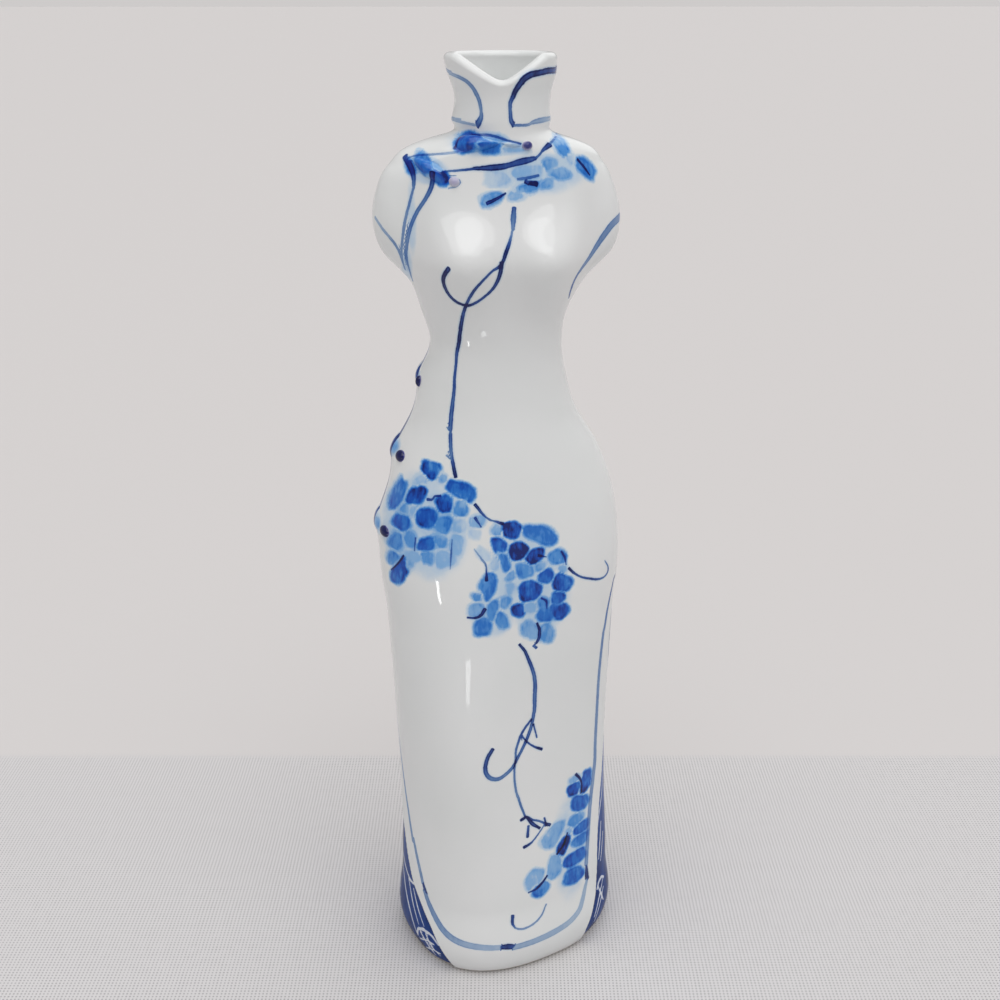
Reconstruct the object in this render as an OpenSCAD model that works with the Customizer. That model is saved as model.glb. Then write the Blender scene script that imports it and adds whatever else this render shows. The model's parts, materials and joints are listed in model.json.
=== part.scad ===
// Porcelain sake bottle in the shape of a headless figure in a cheongsam.
// The figure faces -Y, its right side is towards -X, and the foot stands on z = 0.
// Bearings are in degrees round the body: 0 is the front, and 90 is the wearer's left.

/* [Overall] */
// Height from the foot to the tips of the collar
height = 230; // [207:1:253]
// Thickness of the cast wall
wall = 3; // [2.4:0.1:3.4]

/* [Figure] */
// Width across the foot
foot_w = 57.2; // [54:0.2:60]
// Depth of the foot, front to back
foot_d = 48; // [44:0.5:52]
// Width across the knees
knee_w = 56.6; // [53:0.2:60]
// Width across the hips
hip_w = 60.8; // [57:0.2:64]
// Depth of the hips, front to back
hip_d = 42.5; // [39:0.5:46]
// Width of the waist
waist_w = 31.4; // [29:0.2:35]
// Depth of the waist, front to back
waist_d = 23.5; // [22:0.5:27]
// Width across the cap sleeves
shoulder_w = 57.2; // [54:0.2:60]
// Depth of the chest without the bust, front to back
chest_d = 27.5; // [26:0.5:30]
// How far the bust stands out from the chest
bust = 6; // [4:0.2:7]
// How far the feet turn round the body's axis, in degrees
foot_turn = 24; // [0:1:30]

/* [Collar] */
// Width of the neck at its narrowest
neck_w = 21.6; // [21:0.2:24]
// Width of the collar at its rim
collar_w = 25.6; // [24.6:0.2:28]
// Depth of the notch at the front of the collar
notch = 6; // [3:0.5:8]
// Thickness of the rounded lip
lip = 2.8; // [2.2:0.1:3.2]
// Radius of the throat that a stopper fits
throat_r = 7.5; // [6.5:0.1:7.6]

/* [Foot] */
// Height of the foot rim below the base slab
foot_rim = 1.2; // [0.8:0.1:1.6]
// Thickness of the base slab
slab_t = 3; // [2.4:0.1:4]

/* [Frogs] */
// How far the collar frog stands out
collar_frog_h = 1.6; // [1:0.1:2]
// How far the shoulder frog stands out
shoulder_frog_h = 1.5; // [1:0.1:2]
// How far the three side frogs stand out
side_frog_h = 1.8; // [1:0.1:2.2]
// Radius of each knot
knot_r = 1.2; // [0.9:0.1:1.5]

/* [Hidden] */

PORCELAIN = [0.88, 0.89, 0.89];
COBALT = [0.15, 0.32, 0.66];
INK = [0.07, 0.08, 0.30];

// One millimetre of the 230 mm figure, along its height
u = height / 230;
// Height of the line where the collar is joined to the body
neck_z = 212.7 * u;
// Height of the flat ledge inside the mouth, above the straight throat
ledge_z = 218.5 * u;
// Centre of the neck
neck_x = 0.4;
neck_y = 0.5;

// Horizontal sections of the figure: height, half width, front depth, back depth,
// shift to the side, shift to the back, turn about the axis, and squareness
SECTIONS = [
    [0,         foot_w / 2 - 1,  foot_d / 2 - 1,    foot_d / 2 - 1,     1.2, -0.5, foot_turn,        2.4],
    [2 * u,     foot_w / 2,      foot_d / 2,        foot_d / 2,         1.2, -0.5, foot_turn,        2.4],
    [20 * u,    foot_w / 2 + .2, foot_d / 2,        foot_d / 2,         1.2, -0.5, foot_turn * 0.87, 2.35],
    [45 * u,    knee_w / 2 - .4, foot_d / 2 - 1.2,  foot_d / 2 - 1,     1.1, 0,    foot_turn * 0.7,  2.3],
    [70 * u,    knee_w / 2,      hip_d / 2 + 0.8,   hip_d / 2 + 1.2,    0.6, 0,    foot_turn * 0.54, 2.2],
    [95 * u,    hip_w / 2 - 1.2, hip_d / 2 + 0.2,   hip_d / 2 + 1.2,    0.3, 0,    foot_turn * 0.42, 2.2],
    [115 * u,   hip_w / 2,       hip_d / 2 - 0.8,   hip_d / 2 + 0.8,    0,   0.5,  foot_turn * 0.33, 2.15],
    [128 * u,   hip_w / 2 - 2.2, hip_d / 2 - 3.2,   hip_d / 2 - 1.8,    0.1, 0.5,  foot_turn * 0.25, 2.1],
    [138 * u,   hip_w / 2 - 5.4, hip_d / 2 - 5.8,   hip_d / 2 - 4.8,    -.4, 0.5,  foot_turn * 0.17, 2.1],
    [148 * u,   waist_w / 2 + 4.2, waist_d / 2 + 1.8, waist_d / 2 + 1.8, -1.2, 0.5, foot_turn * 0.08, 2.1],
    [157 * u,   waist_w / 2 + 1.8, waist_d / 2 + .8, waist_d / 2 + .2,  -1.6, 0.5, 0,                2.1],
    [165 * u,   waist_w / 2,     waist_d / 2 + .2,  waist_d / 2 - .2,   -.9, 0.5,  0,                2.1],
    [173 * u,   waist_w / 2 + 1.6, waist_d / 2 + .8, waist_d / 2 + .2,  -1.3, 0.5, 0,                2.1],
    [180 * u,   waist_w / 2 + 4.9, chest_d / 2 - .8, chest_d / 2 - .8,  -.6, 0.5,  0,                2.1],
    [187 * u,   shoulder_w / 2 - 1.6, chest_d / 2 + .2, chest_d / 2 - .2, -.4, 0.5, 0,               2.0],
    [193 * u,   shoulder_w / 2,  chest_d / 2 + .2,  chest_d / 2 - .2,   -.6, 0.5,  0,                2.0],
    [200 * u,   shoulder_w / 2 - 1, chest_d / 2 - .8, chest_d / 2 - .8, -.8, 0.5,  0,                2.0],
    [206 * u,   shoulder_w / 2 - 4, chest_d / 2 - 2, chest_d / 2 - 1.8, -.7, 0.5,  0,                2.0],
    [210.5 * u, shoulder_w / 2 - 9.2, neck_w / 2 + .2, neck_w / 2 + .5, -.2, 0.5,  0,                2.0],
    [211.7 * u, shoulder_w / 2 - 12.6, neck_w / 2, neck_w / 2 + .3,     0,   0.5,  0,                2.0],
    [neck_z,    neck_w / 2 + 1.6, neck_w / 2 - .2,  neck_w / 2,         neck_x, neck_y, 0,           2.0],
    [216 * u,   neck_w / 2 + .4, neck_w / 2 - .3,   neck_w / 2 - .3,    0.3, 0.5,  0,                2.0],
    [221 * u,   neck_w / 2,      neck_w / 2 - .4,   neck_w / 2 - .4,    0.6, 0.5,  0,                2.0],
    [226 * u,   collar_w / 2 - .6, collar_w / 2 - 1.6, collar_w / 2 - 1.6, 0.4, 0.5, 0,              2.0],
    [height,    collar_w / 2,    collar_w / 2 - 1.2, collar_w / 2 - 1.2, 0,  0.5,  0,                2.0],
];

// Soft swellings and hollows: x, height, spread in x, spread in height,
// how far they stand out, and the side they are on (1 front, -1 back)
SWELLINGS = [
    [-10,   185 * u, 8.5, 8.5, bust, 1],  // right breast
    [10,    185 * u, 8.5, 8.5, bust, 1],  // left breast
    [-20.5, 190 * u, 4,   14, -1.6,  1],  // crease beside the right sleeve
    [20.5,  190 * u, 4,   14, -1.6,  1],  // crease beside the left sleeve
    [-12,   62 * u,  10,  28, 3,     1],  // forward thigh
    [0,     138 * u, 12,  14, 1.5,   1],  // belly
    [-13,   113 * u, 11,  14, 4,    -1],  // right buttock
    [13,    113 * u, 11,  14, 4,    -1],  // left buttock
];

// Heights of the rings of facets: the foot, the rising body, and the shoulders
RINGS = concat(
    [0, foot_rim, 2 * u, foot_rim + slab_t],
    [for (z = [10 : 6 : 202]) z * u],
    [205 * u, 207 * u, 209 * u, 210.5 * u, 211.7 * u, neck_z]);
RING_COUNT = len(RINGS);
// Facets round half of the body
COLUMNS = 26;
// The collar's facets round, up its outside, over its lip, and down its inside
COLLAR_COLUMNS = 48;
COLLAR_ROWS = 9;
LIP_ROWS = 5;
FLARE_ROWS = 5;

function smooth(t) = let(s = min(1, max(0, t))) s * s * (3 - 2 * s);
function mix(a, b, t) = a + (b - a) * t;
function signed_power(v, p) = sign(v) * pow(abs(v), p);

// Column k of SECTIONS at height z, as a smooth curve through the rows
function rise(k, i) = (SECTIONS[i + 1][k] - SECTIONS[i][k]) / (SECTIONS[i + 1][0] - SECTIONS[i][0]);
function tangent(k, i) =
    i == 0 ? rise(k, 0) :
    i == len(SECTIONS) - 1 ? rise(k, i - 1) :
    let(below = SECTIONS[i][0] - SECTIONS[i - 1][0], above = SECTIONS[i + 1][0] - SECTIONS[i][0])
        (rise(k, i - 1) * above + rise(k, i) * below) / (below + above);
function row_at(z) = min(len(SECTIONS) - 2, max(0, len([for (s = SECTIONS) if (s[0] <= z) 1]) - 1));
function track(k, z) =
    let(i = row_at(z), gap = SECTIONS[i + 1][0] - SECTIONS[i][0], t = (z - SECTIONS[i][0]) / gap)
        (2 * t * t * t - 3 * t * t + 1) * SECTIONS[i][k]
        + (t * t * t - 2 * t * t + t) * gap * tangent(k, i)
        + (3 * t * t - 2 * t * t * t) * SECTIONS[i + 1][k]
        + (t * t * t - t * t) * gap * tangent(k, i + 1);
function section(z) = [z, for (k = [1 : 7]) track(k, z)];

// How far the swellings on one side push the surface out at x and z
function swelling(x, z, side, facing) = facing <= 0 ? 0 :
    let(sum = [for (s = SWELLINGS) if (s[5] == side)
            s[4] * exp(-pow((x - s[0]) / s[2], 2) - pow((z - s[1]) / s[3], 2))])
        (sum * [for (s = sum) 1]) * smooth(1.6 * facing);

// A point of the skin on section s at a bearing, or inside it by an inset
function on_section(s, bearing, inset = 0) =
    let(side = sin(bearing), ahead = cos(bearing), p = 2 / s[7],
        across = (s[1] - inset) * signed_power(side, p),
        along = -((ahead > 0 ? s[2] : s[3]) - inset) * signed_power(ahead, p),
        x = s[4] + across * cos(s[6]) - along * sin(s[6]),
        y = s[5] + across * sin(s[6]) + along * cos(s[6]))
        [x, y - swelling(x, s[0], 1, ahead) + swelling(x, s[0], -1, -ahead), s[0]];
function skin(z, bearing, inset = 0) = on_section(section(z), bearing, inset);

// The inner face of the wall: inset, and lowered under the shoulders, then the throat
function inside(i, s, bearing) =
    i >= RING_COUNT - 2
        ? [neck_x + (throat_r + 0.5) * sin(bearing), neck_y - (throat_r + 0.5) * cos(bearing),
           i == RING_COUNT - 1 ? neck_z : neck_z - 3]
        : on_section(s, bearing, wall) - [0, 0, wall * smooth((s[0] / u - 188) / 20)];

// Two triangles that fill a quadrilateral given clockwise from outside
function quad(a, b, c, d) = [[a, b, c], [a, c, d]];
function flatten(list) = [for (part = list) for (item = part) item];

// Half of the cast body, from one bearing to the bearing opposite
module half_shell(start) {
    n = COLUMNS + 1;
    m = RING_COUNT * n;
    sections = [for (z = RINGS) section(z)];
    bearings = [for (j = [0 : COLUMNS]) start + 180 * j / COLUMNS];
    points = concat(
        [for (s = sections) for (b = bearings) on_section(s, b)],
        [for (i = [0 : RING_COUNT - 1]) for (b = bearings) inside(i, sections[i], b)]);
    walls = [for (i = [0 : RING_COUNT - 2]) for (j = [0 : COLUMNS - 1])
        let(a = i * n + j)
            concat(quad(a, a + n, a + n + 1, a + 1), quad(m + a, m + a + 1, m + a + n + 1, m + a + n))];
    top = (RING_COUNT - 1) * n;
    ends = [for (j = [0 : COLUMNS - 1])
        concat(quad(j, j + 1, m + j + 1, m + j),
               quad(top + j, m + top + j, m + top + j + 1, top + j + 1))];
    seams = [for (i = [0 : RING_COUNT - 2])
        let(a = i * n, b = a + COLUMNS)
            concat(quad(a, m + a, m + a + n, a + n), quad(b, b + n, m + b + n, m + b))];
    polyhedron(points = points, faces = flatten(concat(walls, ends, seams)), convexity = 6);
}

module body_front() {
    color(PORCELAIN) half_shell(-90);
}

module body_back() {
    color(PORCELAIN) half_shell(90);
}

// The slab fills the body from the top of the foot rim up, and meets the inner wall's facets
module foot_slab() {
    n = 2 * COLUMNS;
    rows = [1, 2, 3];
    points = concat(
        [for (i = rows) let(s = section(RINGS[i])) for (j = [0 : n - 1]) inside(i, s, 180 * j / COLUMNS - 90)],
        [[1.2, -0.5, RINGS[1]], [1.2, -0.5, RINGS[3]]]);
    sides = [for (i = [0 : len(rows) - 2]) for (j = [0 : n - 1])
        let(a = i * n + j, b = i * n + (j + 1) % n) quad(a, a + n, b + n, b)];
    faces = [for (j = [0 : n - 1]) let(k = (j + 1) % n)
        [[j, k, 3 * n], [2 * n + k, 2 * n + j, 3 * n + 1]]];
    color(PORCELAIN) polyhedron(points = points, faces = flatten(concat(sides, faces)), convexity = 2);
}

// Height of the rim at a bearing: level, and falling in a V to the notch at the front
NOTCH_BEARING = -6;
NOTCH_SPAN = 58;
function rim_z(bearing) =
    let(turn = abs(bearing - NOTCH_BEARING),
        away = turn >= NOTCH_SPAN ? 1 : sin(turn) / sin(NOTCH_SPAN),
        fall = 1 - sqrt(away * away + 0.02) / sqrt(1.02))
        height - notch * fall;

// A point of the collar's outside, its rounded lip, or the flare inside its mouth
function collar_outside(b, t) = skin(mix(neck_z, rim_z(b) - lip / 2, t), b);
function collar_lip(b, turn) =
    let(z = rim_z(b) - lip / 2, p = skin(z, b, lip / 2 * (1 - cos(turn)))) [p.x, p.y, z + lip / 2 * sin(turn)];
function collar_flare(b, t) =
    let(z = mix(rim_z(b) - lip / 2, ledge_z, t), wide = skin(z, b, lip), r = throat_r + 0.4)
        mix(wide, [neck_x + r * sin(b), neck_y - r * cos(b), z], smooth(t));

module collar() {
    n = COLLAR_COLUMNS;
    bearings = [for (j = [0 : n - 1]) 360 * j / n - 180];
    points = concat(
        [for (i = [0 : COLLAR_ROWS]) for (b = bearings) collar_outside(b, i / COLLAR_ROWS)],
        [for (i = [1 : LIP_ROWS]) for (b = bearings) collar_lip(b, 180 * i / LIP_ROWS)],
        [for (i = [1 : FLARE_ROWS]) for (b = bearings) collar_flare(b, i / FLARE_ROWS)],
        [[neck_x, neck_y, neck_z], [neck_x, neck_y, ledge_z]]);
    rows = COLLAR_ROWS + LIP_ROWS + FLARE_ROWS;
    skins = [for (i = [0 : rows - 1]) for (j = [0 : n - 1])
        let(a = i * n + j, b = i * n + (j + 1) % n) quad(a, a + n, b + n, b)];
    centre = (rows + 1) * n;
    caps = [for (j = [0 : n - 1]) let(k = (j + 1) % n)
        [[j, k, centre], [rows * n + k, rows * n + j, centre + 1]]];
    color(PORCELAIN) difference() {
        polyhedron(points = points, faces = flatten(concat(skins, caps)), convexity = 6);
        translate([neck_x, neck_y, neck_z - 1])
            cylinder(r = throat_r, h = ledge_z - neck_z + 2, $fn = 96);
    }
}

// The skin's point at a given x on the front, where the sections aren't turned
function front(x, z) =
    let(s = section(z), q = min(1, abs(x - s[4]) / s[1]),
        ahead = pow(1 - pow(q, s[7]), 1 / s[7]))
        [x, s[5] - s[2] * ahead - swelling(x, z, 1, pow(ahead, s[7] / 2)), z];

// A low clay pad pressed on the skin. place(e, f) is the skin's point at e and f,
// each from -1 to 1 across the pad, and height is how far the middle stands out.
SPOKES = 20;
PAD_ROWS = 5;
module pad(place, height) {
    step = 0.1;
    out = cross(place(step, 0) - place(-step, 0), place(0, step) - place(0, -step));
    normal = out / norm(out);
    radii = [for (k = [1 : PAD_ROWS]) sin(90 * k / PAD_ROWS)];
    base = [for (r = radii) for (j = [0 : SPOKES - 1])
        place(r * cos(360 * j / SPOKES), r * sin(360 * j / SPOKES))];
    raised = [for (i = [0 : (PAD_ROWS - 1) * SPOKES - 1])
        base[i] + normal * height * sqrt(1 - pow(radii[floor(i / SPOKES)], 2))];
    m = PAD_ROWS * SPOKES;
    middle = m + (PAD_ROWS - 1) * SPOKES;
    points = concat(base, raised, [place(0, 0), place(0, 0) + normal * height]);
    // The raised rows, with the outline that both faces share as the last one
    function up(k, j) = k == PAD_ROWS - 1 ? k * SPOKES + j % SPOKES : m + k * SPOKES + j % SPOKES;
    function down(k, j) = k * SPOKES + j % SPOKES;
    bands = [for (k = [0 : PAD_ROWS - 2]) for (j = [0 : SPOKES - 1])
        concat(quad(up(k, j), up(k, j + 1), up(k + 1, j + 1), up(k + 1, j)),
               quad(down(k, j), down(k + 1, j), down(k + 1, j + 1), down(k, j + 1)))];
    tips = [for (j = [0 : SPOKES - 1])
        [[middle + 1, up(0, j + 1), up(0, j)], [middle, down(0, j), down(0, j + 1)]]];
    polyhedron(points = points, faces = flatten(concat(bands, tips)), convexity = 2);
}

// A leaf on the front: centre, half length, half width, tilt in degrees, and how much
// narrower its far end is
function leaf(x, z, long, wide, tilt, taper) = function(e, f)
    let(a = long * e, b = wide * f * (1 - taper * e))
        front(x + a * cos(tilt) - b * sin(tilt), z + a * sin(tilt) + b * cos(tilt));

// A patch on the side: centre bearing and height, half width in degrees, half height in mm
function patch(bearing, z, half_angle, half_height) = function(e, f)
    skin(z + half_height * f, bearing + half_angle * e);

module collar_frog_leaf() {
    color(COBALT) pad(leaf(-6, 211.4 * u, 5, 1.7, 2, 0.35), collar_frog_h);
}

module collar_frog_cord() {
    color(COBALT) pad(leaf(1.4, 211.3 * u, 2.4, 0.6, -8, 0), knot_r * 0.6);
}

module collar_frog_knot() {
    color(INK) pad(leaf(4.9, 210.9 * u, knot_r, knot_r * 0.8, 0, 0), knot_r);
}

module shoulder_frog_leaf() {
    color(COBALT) pad(leaf(-16.4, 205.9 * u, 4.2, 1.8, -30, -0.2), shoulder_frog_h);
}

module shoulder_frog_knot() {
    color(INK) pad(leaf(-11.2, 203.5 * u, knot_r, knot_r * 0.9, -10, 0), knot_r * 0.8);
}

// The side frogs: the height of each, the bearing of its leaf, and the bearing of its knot
SIDE_FROGS = [[157 * u, -101, -83], [139.5 * u, -98, -81], [121 * u, -99, -84]];

module side_frog_leaf(i) {
    frog = SIDE_FROGS[i];
    color(COBALT) pad(patch(frog[1], frog[0], 12, 3.4), side_frog_h);
}

module side_frog_knot(i) {
    frog = SIDE_FROGS[i];
    half_angle = knot_r * (i == 0 ? 4.2 : 3);
    color(INK) pad(patch(frog[2], frog[0] - 1, half_angle, knot_r), knot_r * 0.8);
}

body_front();
body_back();
foot_slab();
collar();
collar_frog_leaf();
collar_frog_cord();
collar_frog_knot();
shoulder_frog_leaf();
shoulder_frog_knot();
side_frog_leaf(0);  // side_frog_leaf_upper
side_frog_leaf(1);  // side_frog_leaf_middle
side_frog_leaf(2);  // side_frog_leaf_lower
side_frog_knot(0);  // side_frog_knot_upper
side_frog_knot(1);  // side_frog_knot_middle
side_frog_knot(2);  // side_frog_knot_lower
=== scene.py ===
"""A porcelain sake bottle in the shape of a headless figure in a cheongsam, painted in cobalt.

The scene is in metres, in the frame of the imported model: +Z is up, the figure faces -Y, and
its right side is towards -X. Shapes and brushwork are worked out in millimetres of a bottle
230 mm tall, and Figure.place turns them into metres. A bearing is in degrees round the body:
0 is the front, and 90 is the wearer's left.
"""

from __future__ import annotations

import json
import logging
from dataclasses import dataclass, replace
from enum import Enum
from math import radians
from typing import Callable, Sequence

import bpy
import numpy as np
from mathutils import Euler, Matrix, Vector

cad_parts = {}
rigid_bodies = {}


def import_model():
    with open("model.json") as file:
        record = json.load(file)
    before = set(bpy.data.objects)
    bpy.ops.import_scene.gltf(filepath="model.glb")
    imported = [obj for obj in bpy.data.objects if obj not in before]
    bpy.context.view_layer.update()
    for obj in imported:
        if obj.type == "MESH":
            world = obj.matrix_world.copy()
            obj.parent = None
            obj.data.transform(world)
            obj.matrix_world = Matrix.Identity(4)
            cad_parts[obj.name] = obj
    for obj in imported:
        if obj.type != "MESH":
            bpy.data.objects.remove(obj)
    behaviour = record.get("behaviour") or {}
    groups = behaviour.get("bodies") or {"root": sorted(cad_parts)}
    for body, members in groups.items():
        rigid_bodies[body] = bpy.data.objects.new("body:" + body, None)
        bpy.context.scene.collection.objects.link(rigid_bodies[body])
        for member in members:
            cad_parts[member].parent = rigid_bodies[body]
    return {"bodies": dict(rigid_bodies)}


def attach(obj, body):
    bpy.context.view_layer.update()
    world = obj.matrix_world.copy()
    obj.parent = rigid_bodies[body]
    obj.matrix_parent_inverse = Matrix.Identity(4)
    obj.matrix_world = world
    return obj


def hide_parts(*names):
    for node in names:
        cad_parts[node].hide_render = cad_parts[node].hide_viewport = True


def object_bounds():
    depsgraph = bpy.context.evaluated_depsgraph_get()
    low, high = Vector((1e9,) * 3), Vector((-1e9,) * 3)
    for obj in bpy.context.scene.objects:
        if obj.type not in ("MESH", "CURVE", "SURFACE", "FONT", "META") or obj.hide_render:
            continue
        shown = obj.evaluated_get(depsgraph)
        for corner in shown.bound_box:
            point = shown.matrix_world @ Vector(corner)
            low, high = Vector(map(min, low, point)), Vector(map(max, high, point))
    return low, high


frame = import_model()
CAD_LOW, CAD_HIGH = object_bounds()

LOG = logging.getLogger("bottle")
FULL_HEIGHT = 230.0
WALL = 3.0
NECK_HEIGHT = 212.7
LEDGE_HEIGHT = 218.5
THROAT_RADIUS = 7.5
NECK_X, NECK_Y = 0.4, 0.5
Array = np.ndarray


def smooth(value: Array) -> Array:
    """Rises from 0 to 1 as value goes from 0 to 1, level at both ends: 3t^2 - 2t^3."""
    t = np.clip(value, 0.0, 1.0)
    return t * t * (3 - 2 * t)


def blend(start: Array, stop: Array, share: Array) -> Array:
    """The value that lies a share of the way from start to stop."""
    return start + (stop - start) * share


def unit(vectors: Array) -> Array:
    """Each vector at length 1."""
    return vectors / np.maximum(np.linalg.norm(vectors, axis=-1, keepdims=True), 1e-12)


def ladder(start: float, *runs: tuple[float, float]) -> Array:
    """Rising values in runs of even steps.

    Args:
        start: The first value.
        runs: The last value of each run, and about how large its steps are.

    Returns:
        All the values, with the end of each run among them.
    """
    values = [np.array([start])]
    for stop, step in runs:
        count = max(1, round((stop - values[-1][-1]) / step))
        values.append(np.linspace(values[-1][-1], stop, count + 1)[1:])
    return np.concatenate(values)


# ---------------------------------------------------------------- the figure


class Side(Enum):
    """The half of the body that a swelling is on."""

    FRONT = 1
    BACK = -1


@dataclass(frozen=True)
class Section:
    """A horizontal section of the figure, in millimetres and degrees."""

    height: float
    half_width: float
    front: float
    back: float
    shift_x: float
    shift_y: float
    turn: float
    squareness: float


@dataclass(frozen=True)
class Swelling:
    """A soft rise or hollow of the skin: h * exp(-(dx/rx)^2 - (dz/rz)^2)."""

    x: float
    height: float
    spread_x: float
    spread_height: float
    stands_out: float
    side: Side


SECTIONS = (
    Section(0, 27.6, 23, 23, 1.2, -0.5, 24, 2.4),
    Section(2, 28.6, 24, 24, 1.2, -0.5, 24, 2.4),
    Section(20, 28.8, 24, 24, 1.2, -0.5, 21, 2.35),
    Section(45, 27.9, 22.8, 23, 1.1, 0, 17, 2.3),
    Section(70, 28.3, 22, 22.5, 0.6, 0, 13, 2.2),
    Section(95, 29.2, 21.5, 22.5, 0.3, 0, 10, 2.2),
    Section(115, 30.4, 20.5, 22, 0, 0.5, 8, 2.15),
    Section(128, 28.2, 18, 19.5, 0.1, 0.5, 6, 2.1),
    Section(138, 25, 15.5, 16.5, -0.4, 0.5, 4, 2.1),
    Section(148, 19.9, 13.5, 13.5, -1.2, 0.5, 2, 2.1),
    Section(157, 17.5, 12.5, 12, -1.6, 0.5, 0, 2.1),
    Section(165, 15.7, 12, 11.5, -0.9, 0.5, 0, 2.1),
    Section(173, 17.3, 12.5, 12, -1.3, 0.5, 0, 2.1),
    Section(180, 20.6, 13, 13, -0.6, 0.5, 0, 2.1),
    Section(187, 27, 14, 13.5, -0.4, 0.5, 0, 2),
    Section(193, 28.6, 14, 13.5, -0.6, 0.5, 0, 2),
    Section(200, 27.6, 13, 13, -0.8, 0.5, 0, 2),
    Section(206, 24.6, 11.8, 12, -0.7, 0.5, 0, 2),
    Section(210.5, 19.4, 11, 11.3, -0.2, 0.5, 0, 2),
    Section(211.7, 16, 10.8, 11.1, 0, 0.5, 0, 2),
    Section(212.7, 12.4, 10.6, 10.8, 0.4, 0.5, 0, 2),
    Section(216, 11.2, 10.5, 10.5, 0.3, 0.5, 0, 2),
    Section(221, 10.8, 10.4, 10.4, 0.6, 0.5, 0, 2),
    Section(226, 12.2, 11.2, 11.2, 0.4, 0.5, 0, 2),
    Section(230, 12.8, 11.6, 11.6, 0, 0.5, 0, 2),
)

SWELLINGS = (
    Swelling(-10, 185, 8.5, 8.5, 6, Side.FRONT),
    Swelling(10, 185, 8.5, 8.5, 6, Side.FRONT),
    Swelling(-20.5, 190, 4, 14, -1.6, Side.FRONT),
    Swelling(20.5, 190, 4, 14, -1.6, Side.FRONT),
    Swelling(-12, 62, 10, 28, 3, Side.FRONT),
    Swelling(0, 138, 12, 14, 1.5, Side.FRONT),
    Swelling(-13, 113, 11, 14, 4, Side.BACK),
    Swelling(13, 113, 11, 14, 4, Side.BACK),
)


@dataclass(frozen=True)
class Mound:
    """A low rise under a side frog, which pushes the skin out sideways and falls away faster below."""

    bearing: float
    height: float
    spread: float
    reach_up: float
    reach_down: float
    stands_out: float

    def rise(self, bearing: Array, height: Array) -> Array:
        """Its height above the plain skin: h * exp(-(db/s)^2 - (dz/r)^2)."""
        turn = (bearing - self.bearing + 180) % 360 - 180
        up = height - self.height
        reach = np.where(up > 0, self.reach_up, self.reach_down)
        return self.stands_out * np.exp(-((turn / self.spread) ** 2) - (up / reach) ** 2)


MOUNDS = (
    Mound(-97, 157.4, 18, 5, 3.5, 0.7),
    Mound(-98, 139.0, 17, 8, 4.2, 1.25),
    Mound(-100, 120.6, 17, 7, 4.5, 1.35),
)


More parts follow.
